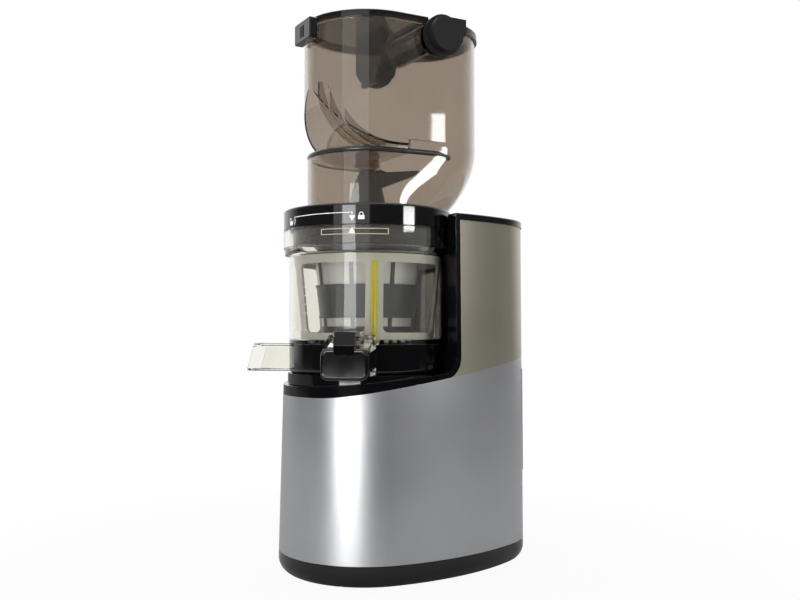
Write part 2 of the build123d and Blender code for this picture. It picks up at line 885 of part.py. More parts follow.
with BuildPart() as rotor_shaft:
    disc(rotor_shaft_radius, motor_base + 1, wheel_low, motor_x)
    add(gear(motor_pinion_teeth, motor_module, 180 / motor_pinion_teeth, wheel_low, wheel_high + 1, motor_x))
rotor_shaft.part.label = "rotor_shaft"
export_step(rotor_shaft.part, "parts/rotor_shaft.step")

with BuildPart() as rotor_fan:
    disc(fan_radius, fan_high - 1.5, fan_high, motor_x)
    disc(rotor_shaft_radius + 3, fan_low, fan_high, motor_x)
    with Locations((motor_x, 0, fan_low)):
        with PolarLocations(0, fan_blades):
            Box(fan_radius, 1.2, fan_high - fan_low, align=(Align.MIN, Align.CENTER, Align.MIN))
    disc(rotor_shaft_radius, fan_low - 1, fan_high + 1, motor_x, mode=Mode.SUBTRACT)
rotor_fan.part.label = "rotor_fan"
export_step(rotor_fan.part, "parts/rotor_fan.step")

with BuildPart() as gearbox_plate:
    add(gearbox_block(motor_top, plate_top, gearbox_clearance + gearbox_wall))
    disc(motor_can_radius, motor_top, plate_top, motor_x)
    disc(shaft_radius + 4, motor_top - 6, plate_top)
    disc(shaft_radius + running_gap, motor_top - 7, plate_top + 1, mode=Mode.SUBTRACT)
    disc(lay_shaft_radius + running_gap, motor_top - 1, plate_top + 1, lay_x, mode=Mode.SUBTRACT)
    disc(rotor_shaft_radius + running_gap, motor_top - 1, plate_top + 1, motor_x, mode=Mode.SUBTRACT)
gearbox_plate.part.label = "gearbox_plate"
export_step(gearbox_plate.part, "parts/gearbox_plate.step")

bearing_top = deck_under - nose_flange_height - 2
bearing_low = bearing_top - bearing_width

with BuildPart() as gearbox_housing:
    add(gearbox_block(plate_top, gearbox_top, gearbox_clearance + gearbox_wall))
    add(gearbox_block(plate_top - 1, gearbox_top - gearbox_wall, gearbox_clearance), mode=Mode.SUBTRACT)
    # Nose that carries the main bearing and stands under the deck
    disc(bearing_radius + gearbox_wall, gearbox_top - gearbox_wall, deck_under)
    disc(nose_flange, deck_under - nose_flange_height, deck_under)
    disc(shaft_radius + 2, plate_top, deck_under + 1, mode=Mode.SUBTRACT)
    disc(bearing_radius, gearbox_top, bearing_top, mode=Mode.SUBTRACT)
    # Upper bearing of the lay gear
    disc(lay_shaft_radius + 4, pinion_high + 1, gearbox_top + 6, lay_x)
    disc(lay_shaft_radius + running_gap, pinion_high, gearbox_top + 4, lay_x, mode=Mode.SUBTRACT)
    # Stiffening ribs on the roof
    with PolarLocations(0, 6):
        with Locations((bearing_radius + 1, 0, gearbox_top - 1)):
            Box(12, gearbox_wall, 12, align=(Align.MIN, Align.CENTER, Align.MIN))
    disc(bearing_radius, gearbox_top, bearing_top, mode=Mode.SUBTRACT)
gearbox_housing.part.label = "gearbox_housing"
export_step(gearbox_housing.part, "parts/gearbox_housing.step")

with BuildPart() as shaft_bearing:
    disc(bearing_radius, bearing_low, bearing_top)
    disc(bearing_radius - 2, bearing_low - 1, bearing_low + bearing_groove, mode=Mode.SUBTRACT)
    disc(bearing_radius - 2, bearing_top - bearing_groove, bearing_top + 1, mode=Mode.SUBTRACT)
    disc(shaft_radius + 2, bearing_low, bearing_top)
    disc(shaft_radius + running_gap, bearing_low - 1, bearing_top + 1, mode=Mode.SUBTRACT)
shaft_bearing.part.label = "shaft_bearing"
export_step(shaft_bearing.part, "parts/shaft_bearing.step")

with BuildPart() as drive_seal:
    disc(guard_radius - guard_wall, deck_under, deck_floor)
    disc(shaft_radius + running_gap, deck_under - 1, deck_floor + 1, mode=Mode.SUBTRACT)
    chamfer(drive_seal.faces().sort_by(Axis.Z)[-1].edges().sort_by(SortBy.RADIUS)[-1], 1)
drive_seal.part.label = "drive_seal"
export_step(drive_seal.part, "parts/drive_seal.step")

with BuildPart() as lay_gear:
    add(gear(lay_wheel_teeth, motor_module, 0, wheel_low, wheel_high, lay_x))
    with Locations((lay_x, 0, wheel_low - 1)):
        with PolarLocations(lay_radius * 0.6, wheel_holes):
            Cylinder(
                wheel_hole_radius,
                wheel_width + 2,
                align=(Align.CENTER, Align.CENTER, Align.MIN),
                mode=Mode.SUBTRACT,
            )
    add(gear(lay_pinion_teeth, lay_module, 180 / lay_pinion_teeth, wheel_high, pinion_high, lay_x))
    disc(lay_shaft_radius, motor_top + 1, gearbox_top + 3, lay_x)
lay_gear.part.label = "lay_gear"
export_step(lay_gear.part, "parts/lay_gear.step")

with BuildPart() as output_gear:
    add(gear(output_teeth, lay_module, 0, wheel_high + 1, pinion_high - 1))
    with PolarLocations(output_radius / 2 + 2, wheel_holes):
        with Locations((0, 0, wheel_high)):
            Cylinder(
                wheel_hole_radius,
                pinion_width,
                align=(Align.CENTER, Align.CENTER, Align.MIN),
                mode=Mode.SUBTRACT,
            )
    disc(shaft_radius, wheel_high, pinion_high, mode=Mode.SUBTRACT)
output_gear.part.label = "output_gear"
export_step(output_gear.part, "parts/output_gear.step")

hexagon_low = bowl_bottom
hexagon_top = 203.0

with BuildPart() as drive_shaft:
    disc(shaft_radius, motor_top - 5, hexagon_low)
    # Shoulder under the gear
    disc(shaft_radius + 2, wheel_high - 3, wheel_high + 1)
    with BuildSketch(Plane.XY.offset(hexagon_low)):
        RegularPolygon(hexagon / 2, 6, major_radius=False)
    extrude(amount=hexagon_top - hexagon_low)
    chamfer(drive_shaft.faces().sort_by(Axis.Z)[-1].edges(), 1)
drive_shaft.part.label = "drive_shaft"
export_step(drive_shaft.part, "parts/drive_shaft.step")

board_back = board_front + board_wall
with BuildPart() as control_board:
    block(board_front, board_back, board_half_width, board_low, board_high)
    # Capacitor, relay, heat sink and plug row
    with BuildSketch(Plane.YZ.offset(board_back)):
        with Locations((-18, board_low + 18)):
            Circle(8)
    extrude(amount=22)
    with BuildSketch(Plane.YZ.offset(board_back)):
        with Locations((18, board_low + 16)):
            Rectangle(20, 14)
    extrude(amount=14)
    with BuildSketch(Plane.YZ.offset(board_back)):
        with Locations((-16, board_high - 20)):
            with GridLocations(1, 4, 1, 6):
                Rectangle(24, 1.5)
    extrude(amount=16)
    with BuildSketch(Plane.YZ.offset(board_back)):
        with Locations((18, board_high - 14)):
            with GridLocations(6, 1, 4, 1):
                Rectangle(4, 8)
    extrude(amount=8)
control_board.part.label = "control_board"
export_step(control_board.part, "parts/control_board.step")

# ---------- juicing bowl ----------

cup_floor = bowl_bottom + base_wall
floor_under = bowl_floor - floor_wall
cup_inside = bowl_radius - base_wall
skirt_outside = cup_inside - 0.2
skirt_inside = skirt_outside - bowl_wall
bowl_inside = bowl_radius - bowl_wall
neck_inside = bowl_neck - bowl_wall


def radial_block(near, far, half_width, low, high, mode=Mode.ADD):
    """Box on the +X side of the drum axis, from near to far."""
    with Locations((near, 0, low)):
        Box(far - near, 2 * half_width, high - low, align=(Align.MIN, Align.CENTER, Align.MIN), mode=mode)


# Both spouts are drawn pointing to +X and turned to their angles when they join the bowl
with BuildPart() as juice_duct:
    with BuildSketch(Plane.XZ):
        Polygon(
            (spout_start, spout_low),
            (spout_start, spout_high),
            (spout_start + bowl_wall, spout_high),
            (spout_start + bowl_wall, juice_slope_top),
            (juice_reach, juice_slope_end),
            (juice_reach, spout_low),
            align=None,
        )
    extrude(amount=juice_width / 2, both=True)
    fillet(juice_duct.faces().sort_by(Axis.X)[-1].edges().filter_by(Axis.Z), 2)
    # Hinge ears with the hole of the pin, and the notch between them
    radial_block(
        cap_hinge_radius - 2 * cap_barrel,
        cap_hinge_radius + 2 * cap_barrel,
        cap_ear_inside,
        spout_high + 1,
        juice_slope_top + 1,
        Mode.SUBTRACT,
    )
    for side in (-1, 1):
        with BuildSketch(Plane.XZ.offset(side * (cap_ear_inside + cap_ear_wall / 2))):
            with Locations((cap_hinge_radius, cap_hinge_height)):
                Circle(cap_barrel)
            with Locations((cap_hinge_radius, cap_hinge_height - cap_barrel)):
                Rectangle(2 * cap_barrel, 2 * cap_barrel)
        extrude(amount=cap_ear_wall / 2, both=True)
    with BuildSketch(Plane.XZ):
        with Locations((cap_hinge_radius, cap_hinge_height)):
            Circle(cap_pin_radius)
    extrude(amount=juice_width, both=True, mode=Mode.SUBTRACT)
    radial_block(channel_start, spout_start + 1, juice_width / 2, cup_floor, bowl_floor - 1)

juice_tunnel = [
    (channel_start + spout_wall, spout_low + 6),
    (channel_start + spout_wall, floor_under),
    (spout_start, floor_under),
    (juice_reach + 1, spout_high - 6),
    (juice_reach + 1, spout_low + 3),
]

with BuildPart() as pulp_duct:
    with BuildSketch(Plane.YZ.offset(spout_start)):
        with Locations((0, (spout_low + spout_high) / 2)):
            RectangleRounded(pulp_width, spout_high - spout_low, 3)
    extrude(amount=pulp_reach - spout_start)
    # Slanted open end
    with BuildSketch(Plane.XZ):
        Polygon(
            (pulp_reach_top, spout_high + 1),
            (pulp_reach_top, spout_high),
            (pulp_reach, spout_low),
            (pulp_reach + 1, spout_low),
            (pulp_reach + 1, spout_high + 1),
            align=None,
        )
    extrude(amount=pulp_width, both=True, mode=Mode.SUBTRACT)
    radial_block(pulp_hole_near - spout_wall, spout_start + 1, pulp_width / 2, cup_floor, bowl_floor - 1)

pulp_tunnel = [
    (pulp_hole_near, cup_floor + spout_wall),
    (pulp_hole_near, floor_under),
    (pulp_reach + 1, floor_under),
    (pulp_reach + 1, spout_low + spout_wall),
]

with BuildPart() as juicing_bowl:
    add(
        turned(
            [
                (hub_bore, cup_floor),
                (hub_radius, cup_floor),
                (hub_radius, floor_under),
                (skirt_inside, floor_under),
                (skirt_inside, cup_floor),
                (skirt_outside, cup_floor),
                (skirt_outside, base_top + skin_gap),
                (bowl_radius, base_top + skin_gap),
                (bowl_radius, bowl_shoulder - 1),
                (bead_radius, bowl_shoulder),
                (bead_radius, bowl_shoulder + bead_height),
                (bead_radius - 1, bowl_shoulder + bead_height),
                (bead_radius - 1, flange_low),
                (flange_radius, flange_low),
                (flange_radius, flange_top),
                (bowl_neck, flange_top),
                (bowl_neck, neck_top),
                (neck_inside, neck_top),
                (neck_inside, bowl_shoulder + bead_height),
                (bowl_inside, bowl_shoulder),
                (bowl_inside, bowl_floor + 2 * bowl_corner),
                (bowl_inside - bowl_corner, bowl_floor),
                (hub_bore, bowl_floor),
            ]
        )
    )
    add(juice_duct.part, rotation=(0, 0, juice_angle))
    add(pulp_duct.part, rotation=(0, 0, pulp_angle))
    # Juice way: slot at the wall of the floor, tunnel to the spout
    with BuildSketch(radial_plane(juice_angle)):
        Polygon(*juice_tunnel, align=None)
    extrude(amount=juice_width / 2 - spout_wall, both=True, mode=Mode.SUBTRACT)
    with BuildSketch(radial_plane(juice_angle)):
        Polygon(
            (juice_hole_near, floor_under - 1),
            (juice_hole_far, floor_under - 1),
            (juice_hole_far, bowl_floor + 1),
            (juice_hole_near, bowl_floor + 1),
            align=None,
        )
    extrude(amount=juice_width / 2 - spout_wall, both=True, mode=Mode.SUBTRACT)
    # Pulp way: kidney hole near the hub, tunnel to the spout
    with BuildSketch(radial_plane(pulp_angle)):
        Polygon(*pulp_tunnel, align=None)
    extrude(amount=pulp_width / 2 - spout_wall, both=True, mode=Mode.SUBTRACT)
    with BuildSketch(Plane.XY.offset(floor_under - 1)):
        with BuildLine():
            ring_start = pulp_angle - pulp_hole_spread / 2
            ring_end = ring_start + pulp_hole_spread
            CenterArc((0, 0), pulp_hole_near, ring_start, pulp_hole_spread)
            Line(polar(pulp_hole_near, ring_end), polar(pulp_hole_far, ring_end))
            CenterArc((0, 0), pulp_hole_far, ring_start, pulp_hole_spread)
            Line(polar(pulp_hole_near, ring_start), polar(pulp_hole_far, ring_start))
        make_face()
    extrude(amount=floor_wall + 2, mode=Mode.SUBTRACT)
    disc(hub_bore, cup_floor - 1, bowl_floor + 1, mode=Mode.SUBTRACT)
    # Fixed pin of the idler gear
    idler_x, idler_y = polar((auger_teeth + idler_teeth) * bowl_module / 2, idler_angle)
    disc(idler_pin_radius + 2, floor_under, gear_low, idler_x, idler_y)
    disc(idler_pin_radius, bowl_floor, gear_high + 1, idler_x, idler_y)
juicing_bowl.part.label = "juicing_bowl"
export_step(juicing_bowl.part, "parts/juicing_bowl.step")

with BuildPart() as bowl_base:
    disc(bowl_radius, bowl_bottom, base_top)
    fillet(bowl_base.faces().sort_by(Axis.Z)[0].edges(), 4)
    disc(cup_inside, cup_floor, base_top + 1, mode=Mode.SUBTRACT)
    disc(hub_bore, bowl_bottom - 1, cup_floor + 1, mode=Mode.SUBTRACT)
    for angle, width in ((juice_angle, juice_width), (pulp_angle, pulp_width)):
        with BuildSketch(radial_plane(angle)):
            Polygon(
                (cup_inside - bowl_wall - 1, bowl_bottom - 1),
                (bowl_radius + 1, bowl_bottom - 1),
                (bowl_radius + 1, base_top + 1),
                (cup_inside - bowl_wall - 1, base_top + 1),
                align=None,
            )
        extrude(amount=width / 2 + 0.2, both=True, mode=Mode.SUBTRACT)
bowl_base.part.label = "bowl_base"
export_step(bowl_base.part, "parts/bowl_base.step")

with BuildPart() as hub_seal:
    disc(hub_radius, bowl_floor, gear_low - seat_gap)
    disc(hub_bore + 0.5, bowl_floor - 1, gear_low, mode=Mode.SUBTRACT)
hub_seal.part.label = "hub_seal"
export_step(hub_seal.part, "parts/hub_seal.step")

with BuildPart() as idler_gear:
    idler_turn = idler_angle + 180 / idler_teeth
    add(gear(idler_teeth, bowl_module, idler_turn, gear_low + seat_gap, gear_high, idler_x, idler_y))
    disc(idler_pin_radius + running_gap, gear_low, gear_high + 1, idler_x, idler_y, mode=Mode.SUBTRACT)
idler_gear.part.label = "idler_gear"
export_step(idler_gear.part, "parts/idler_gear.step")

# ---------- wiper cage ----------

cage_pitch = cage_teeth * bowl_module / 2
cage_slope = (cage_top_radius - cage_foot_radius) / (cage_top - cage_low)


def cage_radius(level):
    return cage_foot_radius + cage_slope * (level - cage_low)


# Bars that carry a wiper
wiper_places = [wiper_angle + bar * 360 / cage_windows for bar in wiper_bars]


with BuildPart() as wiper_cage:
    add(
        turned(
            [
                (cage_foot_radius - cage_wall, cage_low),
                (cage_foot_radius, cage_low),
                (cage_top_radius, cage_top),
                (cage_top_radius - cage_wall, cage_top),
            ]
        )
    )
    disc(cage_foot_radius - cage_wall + 0.5, cage_low + notch_height, gear_high)
    with BuildSketch(Plane.XY.offset(cage_low)):
        Polygon(
            *gear_outline(
                cage_teeth,
                bowl_module,
                cage_pitch - tip_height * bowl_module,
                cage_pitch + root_depth * bowl_module,
                -gear_slack,
                idler_angle + 180 / cage_teeth,
            ),
            align=None,
        )
    extrude(amount=gear_high - cage_low + 1, mode=Mode.SUBTRACT)
    # Windows between the bars
    for window in range(cage_windows):
        middle = wiper_angle + (window + 0.5) * 360 / cage_windows
        x, y = polar(1, middle)
        corners = []
        for level in (window_low, window_high):
            half = math.pi / cage_windows - cage_bar / 2 / cage_radius(level)
            corners.append((cage_radius(level) * math.sin(half), level))
        (low_half, low_level), (high_half, high_level) = corners
        with BuildSketch(Plane(origin=(0, 0, 0), x_dir=(-y, x, 0), z_dir=(x, y, 0))) as window_shape:
            Polygon(
                (-low_half, low_level),
                (low_half, low_level),
                (high_half, high_level),
                (-high_half, high_level),
                align=None,
            )
            fillet(window_shape.vertices(), window_corner)
        extrude(amount=bowl_radius, mode=Mode.SUBTRACT)
    # Drain notches at the foot
    with Locations((0, 0, cage_low - 1)):
        with PolarLocations(cage_foot_radius - cage_wall - 1, cage_notches):
            Box(
                cage_wall + 3,
                notch_width,
                notch_height + 1,
                align=(Align.MIN, Align.CENTER, Align.MIN),
                mode=Mode.SUBTRACT,
            )
    # Slots that hold the wiper blades
    for angle in wiper_places:
        with BuildSketch(radial_plane(angle)):
            Polygon(
                (cage_pitch, gear_high + 2),
                (bowl_radius, gear_high + 2),
                (bowl_radius, window_high),
                (cage_pitch, window_high),
                align=None,
            )
        extrude(amount=wiper_slot / 2, both=True, mode=Mode.SUBTRACT)
wiper_cage.part.label = "wiper_cage"
export_step(wiper_cage.part, "parts/wiper_cage.step")

# Cone of the strainer and the parts that follow it
strainer_slope = (strainer_top_radius - strainer_foot_radius) / (strainer_high - strainer_low)


def strainer_radius(level):
    return strainer_foot_radius + strainer_slope * (level - strainer_low)


def strainer_collar(low, high, wall_out):
    """Ring on the strainer cone, as deep as the mesh on its inside."""
    return turned(
        [
            (strainer_radius(low) - mesh_wall, low),
            (strainer_radius(low) + wall_out, low),
            (strainer_radius(high) + wall_out, high),
            (strainer_radius(high) - mesh_wall, high),
        ]
    )


# Bands of one pad, one block for each width
with BuildPart() as pad_steps:
    for low, high, half_width in wiper_steps:
        block(0, bowl_radius, half_width, low, high)

with BuildPart() as pad_zone:
    for angle in wiper_places:
        add(pad_steps.part, rotation=(0, 0, angle))

with BuildPart() as wiper_pads:
    pad_low = wiper_steps[0][0]
    pad_high = wiper_steps[-1][1]
    add(
        turned(
            [
                (cage_radius(pad_low), pad_low),
                (cage_radius(pad_low) + wiper_pad, pad_low),
                (cage_radius(pad_high) + wiper_pad, pad_high),
                (cage_radius(pad_high), pad_high),
            ]
        )
    )
    add(pad_zone.part, mode=Mode.INTERSECT)

with BuildPart() as silicone_wipers:
    add(wiper_pads.part)
    blade_foot = gear_high + 2 + skin_gap
    blade_head = window_high - skin_gap
    blade_inside = frame_wall + band_rim + seat_gap
    for angle in wiper_places:
        with BuildSketch(radial_plane(angle)):
            Polygon(
                (strainer_radius(blade_foot) + blade_inside, blade_foot),
                (wiper_reach, blade_foot),
                (wiper_reach, blade_head),
                (strainer_radius(blade_head) + blade_inside, blade_head),
                align=None,
            )
        extrude(amount=wiper_slot / 2 - running_gap, both=True)
silicone_wipers.part.label = "silicone_wipers"
export_step(silicone_wipers.part, "parts/silicone_wipers.step")

# ---------- strainer ----------

plate_high = strainer_low + strainer_plate
mesh_high = strainer_ring_high - 2

with BuildPart() as strainer_mesh:
    add(
        turned(
            [
                (strainer_radius(plate_high) - mesh_wall, plate_high),
                (strainer_radius(plate_high), plate_high),
                (strainer_radius(mesh_high), mesh_high),
                (strainer_radius(mesh_high) - mesh_wall, mesh_high),
            ]
        )
    )
strainer_mesh.part.label = "strainer_mesh"
export_step(strainer_mesh.part, "parts/strainer_mesh.step")


def kidney(inset, low, high):
    """Prism of the pulp nozzle's kidney outline."""
    near = pulp_hole_near + seat_gap + inset
    far = pulp_hole_far - seat_gap - inset
    trim = math.degrees((seat_gap + inset) / far)
    start = pulp_angle - pulp_hole_spread / 2 + trim
    spread = pulp_hole_spread - 2 * trim
    with BuildPart() as prism:
        with BuildSketch(Plane.XY.offset(low)):
            with BuildLine():
                CenterArc((0, 0), near, start, spread)
                Line(polar(near, start + spread), polar(far, start + spread))
                CenterArc((0, 0), far, start, spread)
                Line(polar(near, start), polar(far, start))
            make_face()
        extrude(amount=high - low)
    return prism.part


with BuildPart() as strainer_frame:
    disc(strainer_foot_radius + frame_wall, strainer_low, plate_high)
    add(kidney(0, nozzle_low, strainer_low + 1))
    add(kidney(nozzle_wall, nozzle_low - 1, plate_high + 1), mode=Mode.SUBTRACT)
    disc(strainer_hole, strainer_low - 1, plate_high + 1, mode=Mode.SUBTRACT)
    # Ribs along the mesh, the band round its middle and the top ring
    for rib in range(strainer_ribs):
        with BuildSketch(radial_plane(wiper_angle + (rib + 0.5) * 360 / strainer_ribs)):
            Polygon(
                (strainer_radius(strainer_low) - mesh_wall, strainer_low),
                (strainer_radius(strainer_low) + frame_wall, strainer_low),
                (strainer_radius(mesh_high) + frame_wall, mesh_high),
                (strainer_radius(mesh_high) - mesh_wall, mesh_high),
                align=None,
            )
        extrude(amount=strainer_rib_width / 2, both=True)
    add(strainer_collar(band_low, band_high, frame_wall - skin_gap))
    add(strainer_collar(band_low, band_low + 2, frame_wall + band_rim))
    add(strainer_collar(band_high - 2, band_high, frame_wall + band_rim))
    add(strainer_collar(strainer_ring_low, strainer_ring_high, frame_wall + 2))
    # Seat of the mesh
    add(
        turned(
            [
                (0, plate_high),
                (strainer_radius(plate_high), plate_high),
                (strainer_radius(mesh_high), mesh_high),
                (0, mesh_high),
            ]
        ),
        mode=Mode.SUBTRACT,
    )
strainer_frame.part.label = "strainer_frame"
export_step(strainer_frame.part, "parts/strainer_frame.step")

# ---------- auger ----------

flight_low = auger_core[0][0]
mesh_gap = mesh_wall + flight_gap
flight_half_angle = 180 * flight_width / auger_pitch


def core_radius(level):
    """Radius of the auger's core between the stations of its profile."""
    for (low, low_radius), (high, high_radius) in zip(auger_core, auger_core[1:]):
        if level <= high:
            break
    return low_radius + (high_radius - low_radius) * (level - low) / (high - low)


def flight_radius(level):
    return strainer_radius(min(level, strainer_high)) - mesh_gap


with BuildPart() as auger_screw:
    # Each section is the core with one arm; the arm turns once in every pitch
    sections = round((flight_top - flight_low) / flight_step)
    for section in range(sections + 1):
        level = flight_low + section * flight_step
        arm_start = 360 * (level - flight_low) / auger_pitch - flight_half_angle
        arm_end = arm_start + 2 * flight_half_angle
        with BuildSketch(Plane.XY.offset(level)):
            with BuildLine():
                CenterArc((0, 0), flight_radius(level), arm_start, 2 * flight_half_angle)
                Line(polar(flight_radius(level), arm_end), polar(core_radius(level), arm_end))
                CenterArc((0, 0), core_radius(level), arm_end, 360 - 2 * flight_half_angle)
                Line(polar(core_radius(level), arm_start), polar(flight_radius(level), arm_start))
            make_face()
    loft()

tip_low = auger_core[-1][0]
with BuildPart() as auger:
    add(auger_screw.part)
    disc(auger_neck, gear_high, flight_low)
    add(
        turned(
            [
                (0, flight_top),
                (core_radius(flight_top), flight_top),
                *[(radius, level) for level, radius in auger_core if level > flight_top],
                (post_tip_radius, tip_low),
                (post_tip_radius, auger_tip - 1),
                (post_tip_radius - 1, auger_tip),
                (0, auger_tip),
            ]
        )
    )
    # Feeding wing under the chute
    with BuildSketch(radial_plane(wing_angle)):
        Polygon(
            (0, wing_low),
            (wing_reach, wing_tip),
            (wing_reach, wing_high),
            (0, wing_tip),
            align=None,
        )
    extrude(amount=wing_width / 2, both=True)
    add(gear(auger_teeth, bowl_module, idler_angle, gear_low, gear_high))
    with BuildSketch(Plane.XY.offset(gear_low - 1)):
        RegularPolygon((hexagon + hexagon_fit) / 2, 6, major_radius=False)
    extrude(amount=hexagon_top + seat_gap - gear_low + 1, mode=Mode.SUBTRACT)
auger.part.label = "auger"
export_step(auger.part, "parts/auger.step")

# ---------- juice cap ----------

cap_face = juice_reach + seat_gap
cap_front = cap_face + cap_plate
strap_low = cap_hinge_height + cap_barrel - cap_strap_height
strap_high = cap_hinge_height + cap_barrel

with BuildPart() as cap_shape:
    with BuildSketch(Plane.YZ.offset(cap_face)):
        with Locations((0, (cap_low + cap_high) / 2)):
            RectangleRounded(juice_width, cap_high - cap_low, 6)
    extrude(amount=cap_plate)
    fillet(cap_shape.faces().sort_by(Axis.X)[-1].edges(), 2.5)
    with BuildSketch(Plane.XZ):
        Polygon(
            (cap_front - 1, cap_high - 12),
            (cap_front + 1.2, cap_high + 2),
            (cap_front - 4, strap_high - 0.4),
            (cap_hinge_radius, strap_high),
            (cap_hinge_radius, strap_low),
            (cap_face + 1, strap_low - 0.6),
            (cap_face + 3.5, cap_high + 1),
            (cap_face + 2, cap_high - 3),
            align=None,
        )
        with Locations((cap_hinge_radius, cap_hinge_height)):
            Circle(cap_barrel)
    extrude(amount=cap_strap_width / 2, both=True)
    with BuildSketch(Plane.XZ):
        with Locations((cap_hinge_radius, cap_hinge_height)):
            Circle(cap_pin_radius + running_gap)
    extrude(amount=cap_strap_width, both=True, mode=Mode.SUBTRACT)

with BuildPart() as juice_cap:
    add(cap_shape.part, rotation=(0, 0, juice_angle))
juice_cap.part.label = "juice_cap"
export_step(juice_cap.part, "parts/juice_cap.step")

with BuildPart() as cap_plug:
    with BuildSketch(Plane.YZ.offset(cap_face)):
        with Locations((0, (spout_low + spout_high) / 2 - 2)):
            RectangleRounded(juice_width - 4 * spout_wall, 10, 3)
    extrude(amount=-1.2)

with BuildPart() as cap_seal:
    add(cap_plug.part, rotation=(0, 0, juice_angle))
cap_seal.part.label = "cap_seal"
export_step(cap_seal.part, "parts/cap_seal.step")

with BuildPart() as cap_pin:
    with BuildSketch(radial_plane(juice_angle)):
        with Locations((cap_hinge_radius, cap_hinge_height)):
            Circle(cap_pin_radius)
    extrude(amount=cap_ear_inside + cap_ear_wall, both=True)
cap_pin.part.label = "cap_pin"
export_step(cap_pin.part, "parts/cap_pin.step")

# ---------- lid and hopper ----------

plate_under = ring_high - ring_plate

with BuildPart() as lid_ring:
    add(
        turned(
            [
                (flange_radius - ring_wall, ring_low),
                (flange_radius, ring_low),
                (flange_radius, ring_high),
                (neck_radius + seat_gap, ring_high),
                (neck_radius + seat_gap, plate_under),
                (flange_radius - ring_wall, plate_under),
            ]
        )
    )
    rim_edges = lid_ring.faces().sort_by(Axis.Z)[-1].edges()
    fillet(rim_edges.sort_by(SortBy.RADIUS)[-1], ring_round)
lid_ring.part.label = "lid_ring"
export_step(lid_ring.part, "parts/lid_ring.step")

with BuildPart() as lid_seal:
    disc(lid_seal_outside, neck_top + seat_gap, plate_under)
    disc(lid_seal_inside, neck_top, plate_under + 1, mode=Mode.SUBTRACT)
    # Groove between the two lips
    disc((lid_seal_inside + lid_seal_outside) / 2 + 0.6, neck_top, neck_top + 2, mode=Mode.SUBTRACT)
    disc((lid_seal_inside + lid_seal_outside) / 2 - 0.6, neck_top + seat_gap, neck_top + 2)
    disc(lid_seal_inside, neck_top, plate_under + 1, mode=Mode.SUBTRACT)
lid_seal.part.label = "lid_seal"
export_step(lid_seal.part, "parts/lid_seal.step")


def chamber_block(inset):
    """Feed chamber: egg outlines that grow towards the chute."""
    with BuildPart() as chamber:
        for level, rear, rear_x in chamber_sections:
            with BuildSketch(Plane.XY.offset(level)):
                Circle(neck_radius - inset)
                with Locations((rear_x, 0)):
                    Circle(rear - inset)
                make_hull()
        loft()
    return chamber.part


def stadium_block(low, high, inset):
    """Upper hopper's outline between two heights."""
    with BuildPart() as stadium:
        with BuildSketch(Plane.XY.offset(low)):
            Circle(hopper_radius - inset)
            with Locations((hopper_rear, 0)):
                Circle(hopper_radius - inset)
            make_hull()
        extrude(amount=high - low)
    return stadium.part


scoop_x = scoop_round - hopper_radius
scoop_z = scoop_low + scoop_round


def scoop_block(inset):
    """Side view of the upper hopper, with its round lower front."""
    reach = scoop_round - inset
    with BuildPart() as scoop:
        with BuildSketch(Plane.XZ):
            with BuildLine():
                CenterArc((scoop_x, scoop_z), reach, 180, 90)
                Polyline(
                    (scoop_x, scoop_z - reach),
                    (far_side, scoop_z - reach),
                    (far_side, hopper_top + 1),
                    (scoop_x - reach, hopper_top + 1),
                    (scoop_x - reach, scoop_z),
                )
            make_face()
        extrude(amount=far_side, both=True)
    return scoop.part


chute_top = chamber_sections[-1][0]

with BuildPart() as hopper_outside:
    add(stadium_block(scoop_low, hopper_top, 0))
    add(scoop_block(0), mode=Mode.INTERSECT)
    block(chute_front, far_side, far_side, scoop_low - 1, chute_top, Mode.SUBTRACT)

with BuildPart() as hopper_inside:
    add(stadium_block(scoop_low, hopper_top + 1, hopper_wall))
    add(scoop_block(hopper_wall), mode=Mode.INTERSECT)
    block(chute_front, far_side, far_side, scoop_low - 1, chute_top, Mode.SUBTRACT)

with BuildPart() as chamber_outside:
    add(chamber_block(0))
    block(-far_side, chute_front, far_side, chamber_roof, hopper_top, Mode.SUBTRACT)

with BuildPart() as chamber_inside:
    add(chamber_block(hopper_wall))
    block(-far_side, far_side, far_side, ring_low, ring_high + hopper_wall, Mode.SUBTRACT)
    block(-far_side, chute_front, far_side, chamber_roof - hopper_wall, hopper_top, Mode.SUBTRACT)

# Curved ridges in the scoop that keep the food rolling
with BuildPart() as scoop_ridges:
    for y in scoop_ribs:
        with BuildSketch(Plane.XZ.offset(-y)):
            with Locations((scoop_x, scoop_z)):
                Circle(scoop_round - hopper_wall / 2)
            with Locations((scoop_x + scoop_rib_depth, scoop_z + scoop_rib_depth)):
                Circle(scoop_round - hopper_wall, mode=Mode.SUBTRACT)
        extrude(amount=scoop_rib_width / 2, both=True)
    add(stadium_block(scoop_low, scoop_z, hopper_wall / 2), mode=Mode.INTERSECT)
    block(-far_side, scoop_x, far_side, scoop_low, scoop_z, Mode.INTERSECT)

